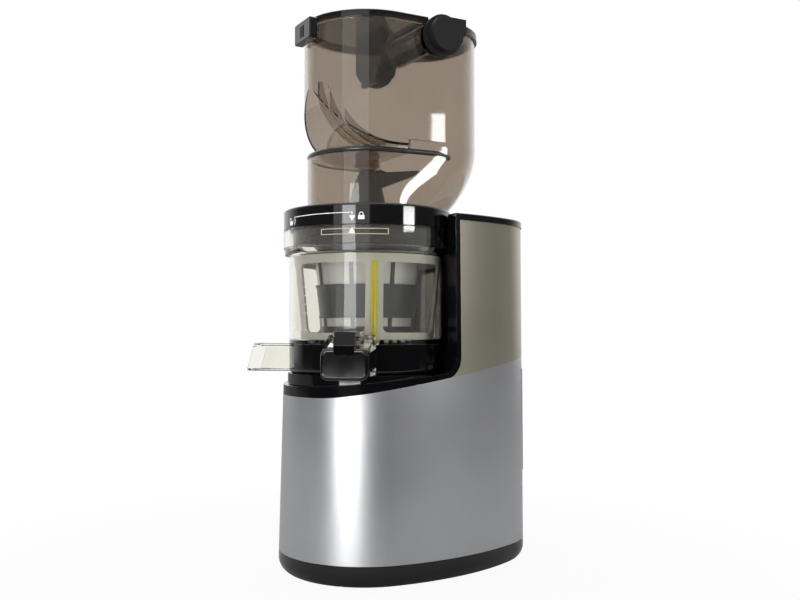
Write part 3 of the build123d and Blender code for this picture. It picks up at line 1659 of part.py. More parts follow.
roof_under = chamber_roof - hopper_wall
with BuildPart() as hopper_body:
    add(chamber_outside.part)
    add(hopper_outside.part)
    disc(neck_radius, neck_low, ring_high)
    disc(neck_flange, plate_under - neck_flange_height, plate_under)
    disc(neck_radius - neck_wall, neck_low - 1, ring_high + 2 * hopper_wall, mode=Mode.SUBTRACT)
    add(chamber_inside.part, mode=Mode.SUBTRACT)
    add(hopper_inside.part, mode=Mode.SUBTRACT)
    add(scoop_ridges.part)
    # Socket of the top bush
    disc(bush_radius + hopper_wall, bush_low + 1, roof_under)
    disc(bush_radius, bush_low, roof_under, mode=Mode.SUBTRACT)
    # Holes of the cover's hinge pins
    with BuildSketch(Plane.XZ):
        with Locations((hinge_x, hinge_z)):
            Circle(hinge_pin_radius)
    extrude(amount=far_side, both=True, mode=Mode.SUBTRACT)
hopper_body.part.label = "hopper_body"
export_step(hopper_body.part, "parts/hopper_body.step")

with BuildPart() as top_bush:
    disc(bush_radius, bush_low, roof_under)
    disc(post_tip_radius + running_gap, bush_low - 1, roof_under + 1, mode=Mode.SUBTRACT)
top_bush.part.label = "top_bush"
export_step(top_bush.part, "parts/top_bush.step")

cover_under = cover_top - hopper_wall
cover_low = hopper_top + seat_gap
barrel_radius = cover_top - hinge_z

with BuildPart() as cover_front:
    add(stadium_block(cover_low, cover_top, -cover_overhang))
    block(-far_side, cover_step_x, far_side, cover_low, cover_top, Mode.INTERSECT)
    fillet(cover_front.faces().sort_by(Axis.Z)[-1].edges().filter_by(Axis.Y, reverse=True), cover_round)

with BuildPart() as cover_cavity:
    add(stadium_block(cover_low - 1, cover_under, hopper_wall))
    block(-far_side, cover_step_x - hopper_wall, far_side, cover_low - 1, cover_under, Mode.INTERSECT)

with BuildPart() as top_cover:
    add(cover_front.part)
    add(cover_cavity.part, mode=Mode.SUBTRACT)
    block(cover_step_x - 1, hinge_x, cover_half_width, cover_under, cover_top)
    # Barrel that closes the gap behind the hinge
    with BuildSketch(Plane.XZ):
        with Locations((hinge_x, hinge_z)):
            Circle(barrel_radius)
            Circle(barrel_radius - hopper_wall, mode=Mode.SUBTRACT)
        with Locations((hinge_x, hinge_z)):
            Rectangle(barrel_radius, barrel_radius, align=(Align.MIN, Align.MIN), mode=Mode.INTERSECT)
    extrude(amount=cover_half_width, both=True)
    # End walls that turn on the pins
    for side in (-1, 1):
        with BuildSketch(Plane.XZ.offset(side * (cover_half_width - hinge_end_wall / 2))):
            with Locations((hinge_x, hinge_z)):
                Circle(barrel_radius)
            Polygon(
                (cover_step_x - hopper_wall, cover_under + 1),
                (hinge_x, cover_under + 1),
                (hinge_x, hinge_z - barrel_radius / 2),
                align=None,
            )
        extrude(amount=hinge_end_wall / 2, both=True)
    with BuildSketch(Plane.XZ):
        with Locations((hinge_x, hinge_z)):
            Circle(hinge_pin_radius + running_gap)
    extrude(amount=far_side, both=True, mode=Mode.SUBTRACT)
top_cover.part.label = "top_cover"
export_step(top_cover.part, "parts/top_cover.step")

with BuildPart() as cover_blade:
    with BuildSketch(Plane.YZ.offset(blade_front)):
        Polygon(
            (-blade_half_width, cover_under),
            (-blade_half_width, blade_low + blade_slant),
            (blade_slant - blade_half_width, blade_low),
            (blade_half_width - blade_slant, blade_low),
            (blade_half_width, blade_low + blade_slant),
            (blade_half_width, cover_under),
            align=None,
        )
    extrude(amount=blade_wall)
    block(blade_front, blade_front + blade_wall, blade_nib_half_width, blade_nib_low, blade_low + 1)
    fillet(cover_blade.faces().sort_by(Axis.Z)[0].edges().filter_by(Axis.X), 2)
    for y in (-blade_half_width / 2, blade_half_width / 2):
        with BuildSketch(Plane.XZ.offset(y)):
            Polygon(
                (blade_front + blade_wall, cover_under),
                (blade_front + blade_wall + blade_gusset, cover_under),
                (blade_front + blade_wall, cover_under - 2 * blade_gusset),
                align=None,
            )
        extrude(amount=blade_wall / 3, both=True)
cover_blade.part.label = "cover_blade"
export_step(cover_blade.part, "parts/cover_blade.step")

with BuildPart() as hinge_hubs:
    hub_start = cover_half_width - hinge_end_wall - 1
    for side in (-1, 1):
        for radius, near, far in (
            (hinge_pin_radius, hub_start, hopper_radius),
            (hinge_neck, hopper_radius, hinge_flange_start),
            (hinge_flange, hinge_flange_start, hinge_flange_end),
        ):
            with BuildSketch(Plane.XZ.offset(side * (near + far) / 2)):
                with Locations((hinge_x, hinge_z)):
                    Circle(radius)
            extrude(amount=(far - near) / 2, both=True)
        with BuildSketch(Plane.XZ.offset(side * (hinge_flange_end + hinge_ear_end) / 2)):
            with Locations((hinge_x, hinge_z)):
                Circle(hinge_ear)
                Rectangle(
                    hinge_ear_rear - hinge_x,
                    hinge_ear_top - hinge_z,
                    align=(Align.MIN, Align.MIN),
                )
            with Locations((hinge_x, hinge_ear_top)):
                Rectangle(far_side, hinge_ear, align=(Align.CENTER, Align.MIN), mode=Mode.SUBTRACT)
        extrude(amount=(hinge_ear_end - hinge_flange_end) / 2, both=True)
hinge_hubs.part.label = "hinge_hubs"
export_step(hinge_hubs.part, "parts/hinge_hubs.step")

with BuildPart() as rear_cover:
    add(stadium_block(hopper_top, cover_top, -cover_overhang))
    block(rear_cover_front, far_side, far_side, hopper_top, cover_top, Mode.INTERSECT)
    fillet(rear_cover.faces().sort_by(Axis.Z)[-1].edges().filter_by(Axis.Y, reverse=True), cover_round)
    add(stadium_block(hopper_top - 1, cover_under, hopper_wall), mode=Mode.SUBTRACT)
    block(
        rear_cover_front,
        rear_cover_front + hopper_wall,
        cover_half_width - hinge_end_wall,
        rear_cover_skirt,
        cover_under,
    )
rear_cover.part.label = "rear_cover"
export_step(rear_cover.part, "parts/rear_cover.step")

latch_back = -hopper_radius - seat_gap
with BuildPart() as latch_box:
    block(latch_front, latch_back, latch_half_width, latch_low, latch_high)
    fillet(latch_box.edges().filter_by(Axis.X), latch_round)
    fillet(latch_box.faces().sort_by(Axis.X)[0].edges(), latch_round / 2)
    add(cover_front.part, mode=Mode.SUBTRACT)
    block(
        latch_front - 1,
        latch_front + button_pocket,
        button_half_width + skin_gap,
        button_low - skin_gap,
        button_high + skin_gap,
        Mode.SUBTRACT,
    )
latch_box.part.label = "latch_box"
export_step(latch_box.part, "parts/latch_box.step")

with BuildPart() as latch_button:
    block(latch_front - 0.5, latch_front + button_wall, button_half_width, button_low, button_high)
    fillet(latch_button.faces().sort_by(Axis.X)[0].edges(), 0.4)
latch_button.part.label = "latch_button"
export_step(latch_button.part, "parts/latch_button.step")
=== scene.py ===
import json
import math

import bmesh
import bpy
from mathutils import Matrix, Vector


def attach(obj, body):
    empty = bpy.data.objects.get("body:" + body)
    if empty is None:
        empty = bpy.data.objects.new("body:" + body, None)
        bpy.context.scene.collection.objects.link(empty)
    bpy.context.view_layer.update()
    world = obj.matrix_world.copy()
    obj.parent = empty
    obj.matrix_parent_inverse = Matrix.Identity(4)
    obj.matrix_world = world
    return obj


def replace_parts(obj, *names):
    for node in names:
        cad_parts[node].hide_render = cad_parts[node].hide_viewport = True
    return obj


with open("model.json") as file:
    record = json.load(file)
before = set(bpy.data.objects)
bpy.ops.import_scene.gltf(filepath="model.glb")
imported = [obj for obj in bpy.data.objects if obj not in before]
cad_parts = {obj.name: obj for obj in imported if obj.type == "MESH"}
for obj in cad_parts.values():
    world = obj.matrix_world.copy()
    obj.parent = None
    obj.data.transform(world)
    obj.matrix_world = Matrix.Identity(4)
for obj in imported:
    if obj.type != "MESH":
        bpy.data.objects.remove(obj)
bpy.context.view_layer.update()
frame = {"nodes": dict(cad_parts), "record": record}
mm = 0.001
nodes = frame["nodes"]
print("frame loaded:", len(nodes), "nodes")


class Flow:
    # one output socket, so that shader sums read as formulas
    def __init__(self, graph, socket):
        self.graph = graph
        self.socket = socket

    def __add__(self, other):
        return self.graph.math("ADD", self, other)

    __radd__ = __add__

    def __sub__(self, other):
        return self.graph.math("SUBTRACT", self, other)

    def __rsub__(self, other):
        return self.graph.math("SUBTRACT", other, self)

    def __mul__(self, other):
        return self.graph.math("MULTIPLY", self, other)

    __rmul__ = __mul__

    def __truediv__(self, other):
        return self.graph.math("DIVIDE", self, other)

    def __rtruediv__(self, other):
        return self.graph.math("DIVIDE", other, self)

    def __pow__(self, other):
        return self.graph.math("POWER", self, other)

    def __rpow__(self, other):
        return self.graph.math("POWER", other, self)

    def clamp(self):
        return self.graph.math("MINIMUM", self.graph.math("MAXIMUM", self, 0.0), 1.0)


class Graph:
    def __init__(self, tree, spots):
        self.tree = tree
        self.spots = self.node("TexCoord", output=spots)

    def feed(self, entry, value):
        if isinstance(value, Flow):
            self.tree.links.new(value.socket, entry)
        elif entry.type == "RGBA" and len(value) == 3:
            entry.default_value = (*value, 1)
        else:
            entry.default_value = value

    def node(self, kind, settings=None, entries=None, output=0):
        made = self.tree.nodes.new("ShaderNode" + kind)
        for name, value in (settings or {}).items():
            if name == "stops":
                self.setStops(made.color_ramp, value)
            else:
                setattr(made, name, value)
        for name, value in (entries or {}).items():
            self.feed(made.inputs[name], value)
        return Flow(self, made.outputs[output]) if made.outputs else None

    def math(self, operation, first, second=0.0):
        return self.node("Math", {"operation": operation}, {0: first, 1: second})

    def setStops(self, ramp, stops):
        for element, (place, level) in zip(ramp.elements, stops):
            element.position = place
            element.color = (level, level, level, 1)

    def stretched(self, scale):
        return self.node("Mapping", {}, {"Vector": self.spots, "Scale": scale})

    def noise(self, scale, detail=3, rough=0.5, where=None):
        entries = {"Scale": scale, "Detail": detail, "Roughness": rough}
        entries["Vector"] = where if where else self.spots
        return self.node("TexNoise", {}, entries)

    def ramp(self, value, low, high):
        return self.node("ValToRGB", {"stops": [(low, 0), (high, 1)]}, {"Fac": value})

    def blend(self, share, first, second):
        entries = {0: share, 6: colour(first), 7: colour(second)}
        return self.node("Mix", {"data_type": "RGBA"}, entries, 2)

    def axis(self, letter):
        return self.node("SeparateXYZ", {}, {0: self.spots}, "XYZ".index(letter))

    def edges(self, radius):
        # softens the look of the sharp arrises by this radius in mm
        return self.node("Bevel", {"samples": 4}, {"Radius": radius * mm})

    def rays(self, *kinds):
        # 1 for light paths of these kinds
        total = 0.0
        for kind in kinds:
            total = self.math("MAXIMUM", self.node("LightPath", output="Is " + kind + " Ray"), total)
        return total


class Finish(Graph):
    def __init__(self, name, **settings):
        self.material = bpy.data.materials.new(name)
        self.material.use_nodes = True
        super().__init__(self.material.node_tree, "Object")
        self.shader = self.tree.nodes["Principled BSDF"]
        for socket, value in settings.items():
            self.set(socket, value)

    def set(self, socket, value):
        # a socket is named in words run together: baseColor is Base Color
        spaced = "".join(" " + letter if letter.isupper() else letter for letter in socket)
        self.feed(self.shader.inputs[{"ior": "IOR"}.get(socket, spaced.title())], value)

    def bump(self, height, look):
        # depth and the softened arris are in mm
        entries = {"Height": height, "Distance": look["depth"] * mm, "Strength": look["strength"]}
        if "arris" in look:
            entries["Normal"] = self.edges(look["arris"])
        self.set("normal", self.node("Bump", {}, entries))


def colour(value):
    # colours are written as the eye reads them, 0 to 255
    if isinstance(value, Flow):
        return value
    return (*[(part / 255) ** 2.2 for part in value], 1)


def tinted(shade, factor, lift=0):
    return [part * factor + lift for part in shade]


# every look: how dense its grains are, what they add to the roughness, and the bump's depth in mm
silver = {"colour": (208, 209, 211), "dark": (195, 196, 199), "rough": 0.31}
champagne = {"colour": (190, 185, 167), "dark": (178, 173, 155), "rough": 0.34}
paint = {"metallic": 0.9, "coat": 0.25, "coatRough": 0.08, "flake": 9000, "mottle": 14, "flakeShare": 0.6,
         "darkAt": 0.38, "paleAt": 0.62, "uneven": 0.06, "depth": 0.02, "strength": 0.25, "arris": 0.4}


def makeMetallic(name, look):
    # fine metallic paint: flakes, a faint mottle and slightly uneven gloss
    done = Finish(name, metallic=paint["metallic"], coatWeight=paint["coat"])
    done.set("coatRoughness", paint["coatRough"])
    flake = done.noise(paint["flake"], 1)
    mottle = done.noise(paint["mottle"], 4)
    mixed = flake * paint["flakeShare"] + mottle * (1 - paint["flakeShare"])
    pale = done.ramp(mixed, paint["darkAt"], paint["paleAt"])
    done.set("baseColor", done.blend(pale, look["dark"], look["colour"]))
    done.set("roughness", look["rough"] + paint["uneven"] * mottle + paint["uneven"] * flake)
    done.bump(flake, paint)
    return done


gloss = {"coat": 0.3, "coatRough": 0.05, "smudge": 22, "hair": 300, "along": (1, 1, 9), "lift": 5,
         "smudgeFrom": 0.45, "smudgeTo": 0.75, "smudgeRough": 0.06, "hairRough": 0.02,
         "depth": 0.01, "strength": 0.2, "arris": 0.35}


def makeGloss(name, shade, rough=0.05):
    # polished black plastic: soft smudges and hairline marks
    done = Finish(name, coatWeight=gloss["coat"], coatRoughness=gloss["coatRough"])
    smudge = done.noise(gloss["smudge"], 4)
    hair = done.noise(gloss["hair"], 2, 0.5, done.stretched(gloss["along"]))
    dull = done.ramp(smudge, gloss["smudgeFrom"], gloss["smudgeTo"])
    done.set("baseColor", done.blend(smudge, shade, tinted(shade, 1, gloss["lift"])))
    done.set("roughness", rough + gloss["smudgeRough"] * dull + gloss["hairRough"] * hair)
    done.bump(hair, gloss)
    return done


matt = {"cloud": 30, "pale": 1.15, "lift": 4, "sparkRough": 0.12, "cloudRough": 0.08,
        "strength": 0.6, "arris": 0.3}


def makeMatt(name, shade, rough=0.55, grain=1800, depth=0.03):
    # moulded plastic with a fine spark grain
    done = Finish(name)
    spark = done.noise(grain, 2)
    cloud = done.noise(matt["cloud"], 3)
    done.set("baseColor", done.blend(cloud, shade, tinted(shade, matt["pale"], matt["lift"])))
    done.set("roughness", rough + matt["sparkRough"] * (spark - 0.5) + matt["cloudRough"] * (cloud - 0.5))
    done.bump(spark, {**matt, "depth": depth})
    return done


clear = {"bending": 1.5, "cloud": 16, "mark": 500, "along": (1, 1, 7), "dim": 0.96, "markFrom": 0.6,
         "markTo": 0.8, "markRough": 0.05, "cloudRough": 0.02, "depth": 0.12, "strength": 0.5, "arris": 0.3}


def makeClear(name, shade, rough=0.02):
    # see-through plastic with flow lines and light handling marks
    done = Finish(name, transmissionWeight=1.0, ior=clear["bending"])
    cloud = done.noise(clear["cloud"], 3)
    mark = done.noise(clear["mark"], 2, 0.5, done.stretched(clear["along"]))
    worn = done.ramp(mark, clear["markFrom"], clear["markTo"])
    done.set("baseColor", done.blend(cloud, shade, tinted(shade, clear["dim"])))
    done.set("roughness", rough + clear["markRough"] * worn + clear["cloudRough"] * cloud)
    done.bump(cloud, clear)
    return done


steel = {"line": 400, "cloud": 40, "dim": 0.85, "lineRough": 0.16, "cloudRough": 0.08,
         "depth": 0.02, "strength": 0.4, "arris": 0.2}


def makeSteel(name, shade, rough=0.22, brush=(1, 1, 30)):
    # turned or drawn steel
    done = Finish(name, metallic=1.0)
    line = done.noise(steel["line"], 3, 0.6, done.stretched(brush))
    cloud = done.noise(steel["cloud"], 3)
    done.set("baseColor", done.blend(line, tinted(shade, steel["dim"]), shade))
    done.set("roughness", rough + steel["lineRough"] * line + steel["cloudRough"] * cloud)
    done.bump(line, steel)
    return done


rubber = {"sheen": 0.08, "sheenRough": 0.5, "grain": 900, "bloom": 26, "bloomFrom": 0.4, "bloomTo": 0.8,
          "pale": 1.1, "lift": 6, "bloomRough": 0.14, "grainRough": 0.06,
          "depth": 0.05, "strength": 0.5, "arris": 0.3}


def makeRubber(name, shade, rough=0.6):
    # soft rubber with a pale bloom
    done = Finish(name, sheenWeight=rubber["sheen"], sheenRoughness=rubber["sheenRough"])
    grain = done.noise(rubber["grain"], 3)
    bloom = done.noise(rubber["bloom"], 4)
    pale = done.ramp(bloom, rubber["bloomFrom"], rubber["bloomTo"])
    done.set("baseColor", done.blend(pale, shade, tinted(shade, rubber["pale"], rubber["lift"])))
    done.set("roughness", rough + rubber["bloomRough"] * bloom + rubber["grainRough"] * grain)
    done.bump(grain, rubber)
    return done


milky = {"bending": 1.5, "scatter": 0.15, "under": (0.004, 0.003, 0.002), "cloud": 20, "grain": 1500,
         "dim": 0.95, "cloudRough": 0.1, "grainRough": 0.05, "depth": 0.03, "strength": 0.5, "arris": 0.25}


def makeMilky(name, shade, through, rough=0.3):
    # pale plastic that lets some light through
    done = Finish(name, transmissionWeight=through, ior=milky["bending"])
    done.set("subsurfaceWeight", milky["scatter"])
    done.set("subsurfaceRadius", milky["under"])
    done.set("subsurfaceScale", 1.0)
    cloud = done.noise(milky["cloud"], 3)
    grain = done.noise(milky["grain"], 2)
    done.set("baseColor", done.blend(cloud, shade, tinted(shade, milky["dim"])))
    done.set("roughness", rough + milky["cloudRough"] * cloud + milky["grainRough"] * grain)
    done.bump(grain, milky)
    return done


# pitch in mm at the radius in mm, holes as a share of the pitch; the sheet's pale colour is partly its own
# steel tone and partly a painted highlight, with little metallic
sieve = {"colour": (246, 246, 244), "holeShade": (120, 120, 118), "metallic": 0.3, "pitch": 0.9, "radius": 40,
         "hole": 0.24, "soft": 0.05, "line": 600, "dim": 0.9, "rough": 0.28, "lineRough": 0.12,
         "depth": 0.1, "strength": 0.5}


def makeSieve(name):
    # etched sheet: staggered rows of fine round holes, too small to look through, drawn as dark dots of
    # painted shade where the inside would show through
    # mostly diffuse, so the pale colour shows as a painted sheen in place of the steel's reflection
    done = Finish(name, metallic=sieve["metallic"])
    across = done.math("ARCTAN2", done.axis("Y"), done.axis("X"))
    row = done.axis("Z") / (sieve["pitch"] * mm)
    shift = done.math("FLOORED_MODULO", done.math("FLOOR", row), 2.0) * 0.5
    column = across * (sieve["radius"] / sieve["pitch"]) + shift
    sideways = done.math("FRACT", column) - 0.5
    upright = done.math("FRACT", row) - 0.5
    reach = (sideways * sideways + upright * upright) ** 0.5
    metal = done.ramp(reach, sieve["hole"] - sieve["soft"], sieve["hole"] + sieve["soft"])
    line = done.noise(sieve["line"], 2)
    sheet = done.blend(line, tinted(sieve["colour"], sieve["dim"]), sieve["colour"])
    # the holes get the painted shade colour, the rest the sheet's colour
    done.set("baseColor", done.blend(metal, sieve["holeShade"], sheet))
    done.set("roughness", sieve["rough"] + sieve["lineRough"] * line)
    done.bump(metal, sieve)
    return done


# finishes of the record's slots, then those of the pieces made below
finishes = {
    "satin_silver": makeMetallic("satin_silver", silver),
    "champagne": makeMetallic("champagne", champagne),
    "black_gloss": makeGloss("black_gloss", (14, 14, 16)),
    "black_matt": makeMatt("black_matt", (20, 20, 22)),
    "clear": makeClear("clear", (251, 250, 244)),
    "smoke": makeClear("smoke", (196, 186, 176)),
    "dark_smoke": makeClear("dark_smoke", (70, 64, 58), 0.06),
    "ivory": makeMilky("ivory", (236, 234, 224), 0.15),
    "yellow_silicone": makeMilky("yellow_silicone", (244, 228, 0), 0.0, 0.4),
    "steel": makeSteel("steel", (190, 192, 195)),
    "mesh_steel": makeSieve("mesh_steel"),
    "dark_frame": makeMatt("dark_frame", (52, 54, 57), 0.35),
    "black_rubber": makeRubber("black_rubber", (18, 18, 18)),
    "grey_silicone": makeRubber("grey_silicone", (150, 150, 148), 0.45),
    "auger_grey": makeMatt("auger_grey", (92, 94, 96), 0.32, 900),
    "gear_plastic": makeMilky("gear_plastic", (228, 226, 216), 0.0, 0.4),
    "can_steel": makeSteel("can_steel", (150, 152, 155), 0.35),
    "copper": makeSteel("copper", (190, 110, 70), 0.3, (30, 30, 1)),
    "board_green": makeMatt("board_green", (24, 92, 52), 0.35),
    "brass_bush": makeSteel("brass_bush", (196, 160, 96), 0.25),
    "white_ink": makeMatt("white_ink", (236, 236, 238), 0.4, 600, 0.01),
    "pale_ink": makeMatt("pale_ink", (214, 214, 208), 0.4, 600, 0.01),
    "clear_line": makeMatt("clear_line", (196, 190, 160), 0.2, 600, 0.01),
    "smoke_bead": makeGloss("smoke_bead", (46, 46, 46), 0.1),
}
slotOf = {part["node"]: part["material_slot"] for part in frame["record"]["subparts"]}
for name, node in nodes.items():
    node.data.materials.clear()
    node.data.materials.append(finishes[slotOf[name]].material)
print("finishes made:", len(finishes))


sharpFrom = math.radians(35)    # edges sharper than this stay crisp


def placePiece(name, mesh, body):
    made = bpy.data.objects.new(name, mesh)
    bpy.context.scene.collection.objects.link(made)
    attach(made, body)
    return made


def addPiece(name, work, body, finish, smooth=True):
    # turns a bmesh into a piece that rides on a body
    mesh = bpy.data.meshes.new(name)
    bmesh.ops.recalc_face_normals(work, faces=work.faces)
    work.to_mesh(mesh)
    work.free()
    mesh.materials.append(finishes[finish].material)
    if smooth:
        mesh.shade_smooth()
        mesh.set_sharp_from_angle(angle=sharpFrom)
    placePiece(name, mesh, body)


def bar(left, low, right, high):
    return [(left, low), (right, low), (right, high), (left, high)]


def ribbon(points, width):
    # outlines of a line of this width, one for each of its runs
    runs = []
    for (u0, v0), (u1, v1) in zip(points, points[1:]):
        length = math.hypot(u1 - u0, v1 - v0)
        sideU, sideV = (v0 - v1) / length * width / 2, (u1 - u0) / length * width / 2
        endU, endV = (u1 - u0) / length * width / 2, (v1 - v0) / length * width / 2
        runs.append([(u0 - endU + sideU, v0 - endV + sideV), (u0 - endU - sideU, v0 - endV - sideV),
                     (u1 + endU - sideU, v1 + endV - sideV), (u1 + endU + sideU, v1 + endV + sideV)])
    return runs


def arc(u, v, radius, start, end, count=8):
    angles = [math.radians(start + (end - start) * step / count) for step in range(count + 1)]
    return [(u + radius * math.cos(angle), v + radius * math.sin(angle)) for angle in angles]


def inkOnDrum(outlines, drum, thick=0.06, step=1.5):
    # flat outlines in mm, along the rim and up, laid round an upright drum
    work = bmesh.new()
    for outline in outlines:
        work.faces.new([work.verts.new((u, v, 0)) for u, v in outline])
    widest = max(abs(u) for outline in outlines for u, v in outline)
    for cut in range(-int(widest / step), int(widest / step) + 1):
        every = work.verts[:] + work.edges[:] + work.faces[:]
        bmesh.ops.bisect_plane(work, geom=every, plane_co=(cut * step, 0, 0), plane_no=(1, 0, 0))
    grown = bmesh.ops.extrude_face_region(work, geom=work.faces[:])["geom"]
    for vert in [item for item in grown if isinstance(item, bmesh.types.BMVert)]:
        vert.co.z = thick
    for vert in work.verts:
        turn = math.radians(drum["angle"]) + vert.co.x / drum["radius"]
        reach = drum["radius"] - thick / 2 + vert.co.z
        level = drum["low"] + vert.co.y
        vert.co = (reach * math.cos(turn) * mm, reach * math.sin(turn) * mm, level * mm)
    return work


def sweepRound(path, radius, sides=12):
    # round bar along a path in mm, closed by flat ends
    work = bmesh.new()
    rings = []
    points = [Vector(point) for point in path]
    for index, point in enumerate(points):
        ahead = points[min(index + 1, len(points) - 1)] - points[max(index - 1, 0)]
        along = ahead.normalized()
        side = along.cross(Vector((0, 0, 1))).normalized()
        up = side.cross(along)
        ring = []
        for corner in range(sides):
            turn = 2 * math.pi * corner / sides
            spot = point + side * radius * math.cos(turn) + up * radius * math.sin(turn)
            ring.append(work.verts.new(spot * mm))
        rings.append(ring)
    for ring, following in zip(rings, rings[1:]):
        for corner in range(sides):
            after = (corner + 1) % sides
            work.faces.new((ring[corner], ring[after], following[after], following[corner]))
    work.faces.new(rings[0])
    work.faces.new(rings[-1])
    return work


silverShell = {"radius": 74.0, "draft": 0.0245, "low": 20.0, "ribTop": 62.0, "under": 0.06}


def makeSilverShell():
    # the shell's own mesh, with the ends of two inner ribs drawn in under its wall
    mesh = nodes["body_shell"].data.copy()
    for vert in mesh.vertices:
        x, y, z = vert.co / mm
        reach = math.hypot(x, y)
        wall = silverShell["radius"] - silverShell["draft"] * (z - silverShell["low"])
        proud = reach > wall + silverShell["under"] / 2
        if x < 0 and silverShell["low"] < z < silverShell["ribTop"] and proud:
            pull = (wall - silverShell["under"]) / reach
            vert.co.x *= pull
            vert.co.y *= pull
    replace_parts(placePiece("silver_shell", mesh, "base"), "body_shell")


# parts of a lock as shares of its size
lock = {"half": 0.42, "neck": 0.55, "shackle": 0.24, "lift": 0.14, "line": 0.13, "openEnd": 0.04}


def lockIcon(u, v, size, shackleShift=0.0):
    # body of the lock, and the shackle above it, shifted where the lock is open
    half = size * lock["half"]
    neck = size * lock["neck"]
    shackle = arc(u + shackleShift, v + neck + size * lock["lift"], size * lock["shackle"], 0, 180)
    if shackleShift:
        path = shackle + [(shackle[-1][0], v + neck + size * lock["openEnd"])]
    else:
        path = [(shackle[0][0], v + neck)] + shackle + [(shackle[-1][0], v + neck)]
    return [bar(u - half, v, u + half, v + neck)] + ribbon(path, size * lock["line"])


# angles in degrees about the drum, the rest in mm from the filled arrow's tip
lidMarks = {"radius": 71.0, "angle": -126.7, "low": 286.7, "turn": 46.4, "line": 0.6, "thinLine": 0.5,
            "arrowHalf": 2.6, "arrowHigh": 4.3, "lineHigh": 6.8, "lineEnd": 6.2,
            "openHigh": 5.2, "openLow": 0.2, "openMiddle": 3.4, "openHalf": 1.5,
            "lockSize": 6.0, "closedLock": (7.2, 1.2), "openLock": (-5.6, 0.2), "shackleShift": -1.6}


def makeLidMarks():
    # turn-to-lock marks: filled arrow, line, open arrow, closed and open lock
    far = -math.radians(lidMarks["turn"]) * lidMarks["radius"]
    half, high = lidMarks["arrowHalf"], lidMarks["arrowHigh"]
    openTop = (far, lidMarks["openHigh"])
    line = [(0, high), (0, lidMarks["lineHigh"]), (far, lidMarks["lineEnd"]), openTop]
    openArrow = [openTop, (far - lidMarks["openHalf"], lidMarks["openMiddle"]), (far, lidMarks["openLow"]),
                 (far + lidMarks["openHalf"], lidMarks["openMiddle"]), openTop]
    outlines = [[(0, 0), (half, high), (-half, high)]]
    outlines += ribbon(line, lidMarks["line"])
    outlines += ribbon(openArrow, lidMarks["thinLine"])
    outlines += lockIcon(*lidMarks["closedLock"], lidMarks["lockSize"])
    u, v = lidMarks["openLock"]
    outlines += lockIcon(far + u, v, lidMarks["lockSize"], lidMarks["shackleShift"])
    addPiece("lid_marks", inkOnDrum(outlines, lidMarks), "lid", "white_ink", False)


flangeMarks = {"radius": 71.0, "angle": -126.8, "low": 276.4, "left": -25.8, "right": 28.6, "frameLow": 0.2,
               "frameHigh": 4.4, "line": 0.5, "frameThick": 0.3, "arrowHalf": 2.7, "arrowLow": 0.9,
               "arrowHigh": 5.4, "arrowThick": 0.36}


def makeFlangeMarks():
    # moulded frame of the lock window and the arrow that meets the lid's
    low = flangeMarks["frameLow"]
    frameLine = bar(flangeMarks["left"], low, flangeMarks["right"], flangeMarks["frameHigh"])
    outlines = ribbon(frameLine + frameLine[:1], flangeMarks["line"])
    work = inkOnDrum(outlines, flangeMarks, flangeMarks["frameThick"])
    addPiece("flange_frame", work, "bowl", "clear_line")
    half, foot = flangeMarks["arrowHalf"], flangeMarks["arrowLow"]
    arrow = [(-half, foot), (half, foot), (0, flangeMarks["arrowHigh"])]
    work = inkOnDrum([arrow], flangeMarks, flangeMarks["arrowThick"])
    addPiece("flange_arrow", work, "bowl", "white_ink", False)


ticks = {"radius": 66.0, "angle": -168.0, "low": 201.6, "pitch": 6.9, "count": 6, "length": 3.4,
         "longer": 1.5, "wide": 0.6}


def makeVolumeTicks():
    # level lines on the bowl, the longer ones at each second step
    outlines = []
    for index in range(ticks["count"]):
        length = ticks["length"] * (1 if index % 2 else ticks["longer"])
        middle = index * ticks["pitch"]
        outlines.append(bar(0, middle - ticks["wide"] / 2, length, middle + ticks["wide"] / 2))
    addPiece("volume_ticks", inkOnDrum(outlines, ticks), "bowl", "pale_ink", False)


# in mm; past its straight ends the rim bends down by these steps along, across and up
bead = {"radius": 51.0, "rear": 53.4, "rearX": 43.5, "end": 40.0, "level": 347.4, "thick": 2.2,
        "proud": 0.7, "steps": 48, "bend": [(10, -0.4, -3.2), (5, 0, -1.2), (0, 0, 0)]}


def makeChamberBead():
    # dark rounded rim where the feed chamber's roof meets its wall
    middle = bead["radius"] - bead["thick"] + bead["proud"]
    grow = (bead["rear"] - bead["radius"]) / bead["rearX"]
    start = math.pi / 2 + math.asin(grow)
    side = middle + bead["end"] * grow
    ends = [(bead["end"] + along, side + across, bead["level"] + up) for along, across, up in bead["bend"]]
    path = ends[:]
    for step in range(bead["steps"] + 1):
        turn = start + (2 * math.pi - 2 * start) * step / bead["steps"]
        path.append((middle * math.cos(turn), middle * math.sin(turn), bead["level"]))
    path += [(x, -y, z) for x, y, z in reversed(ends)]
    addPiece("chamber_bead", sweepRound(path, bead["thick"]), "lid", "smoke_bead")


collar = {"inside": 61.6, "outside": 63.2, "low": 266.8, "high": 297.2, "steps": 96}


def makeLidCollar():
    # smoke skirt of the lid that dips into the bowl's neck
    profile = bar(collar["inside"], collar["low"], collar["outside"], collar["high"])
    work = bmesh.new()
    rings = []
    for step in range(collar["steps"]):
        turn = 2 * math.pi * step / collar["steps"]
        spots = [(r * math.cos(turn) * mm, r * math.sin(turn) * mm, z * mm) for r, z in profile]
        rings.append([work.verts.new(spot) for spot in spots])
    for ring, after in zip(rings, rings[1:] + rings[:1]):
        for corner in range(len(profile)):
            following = (corner + 1) % len(profile)
            work.faces.new((ring[corner], ring[following], after[following], after[corner]))
    addPiece("lid_collar", work, "lid", "dark_smoke")


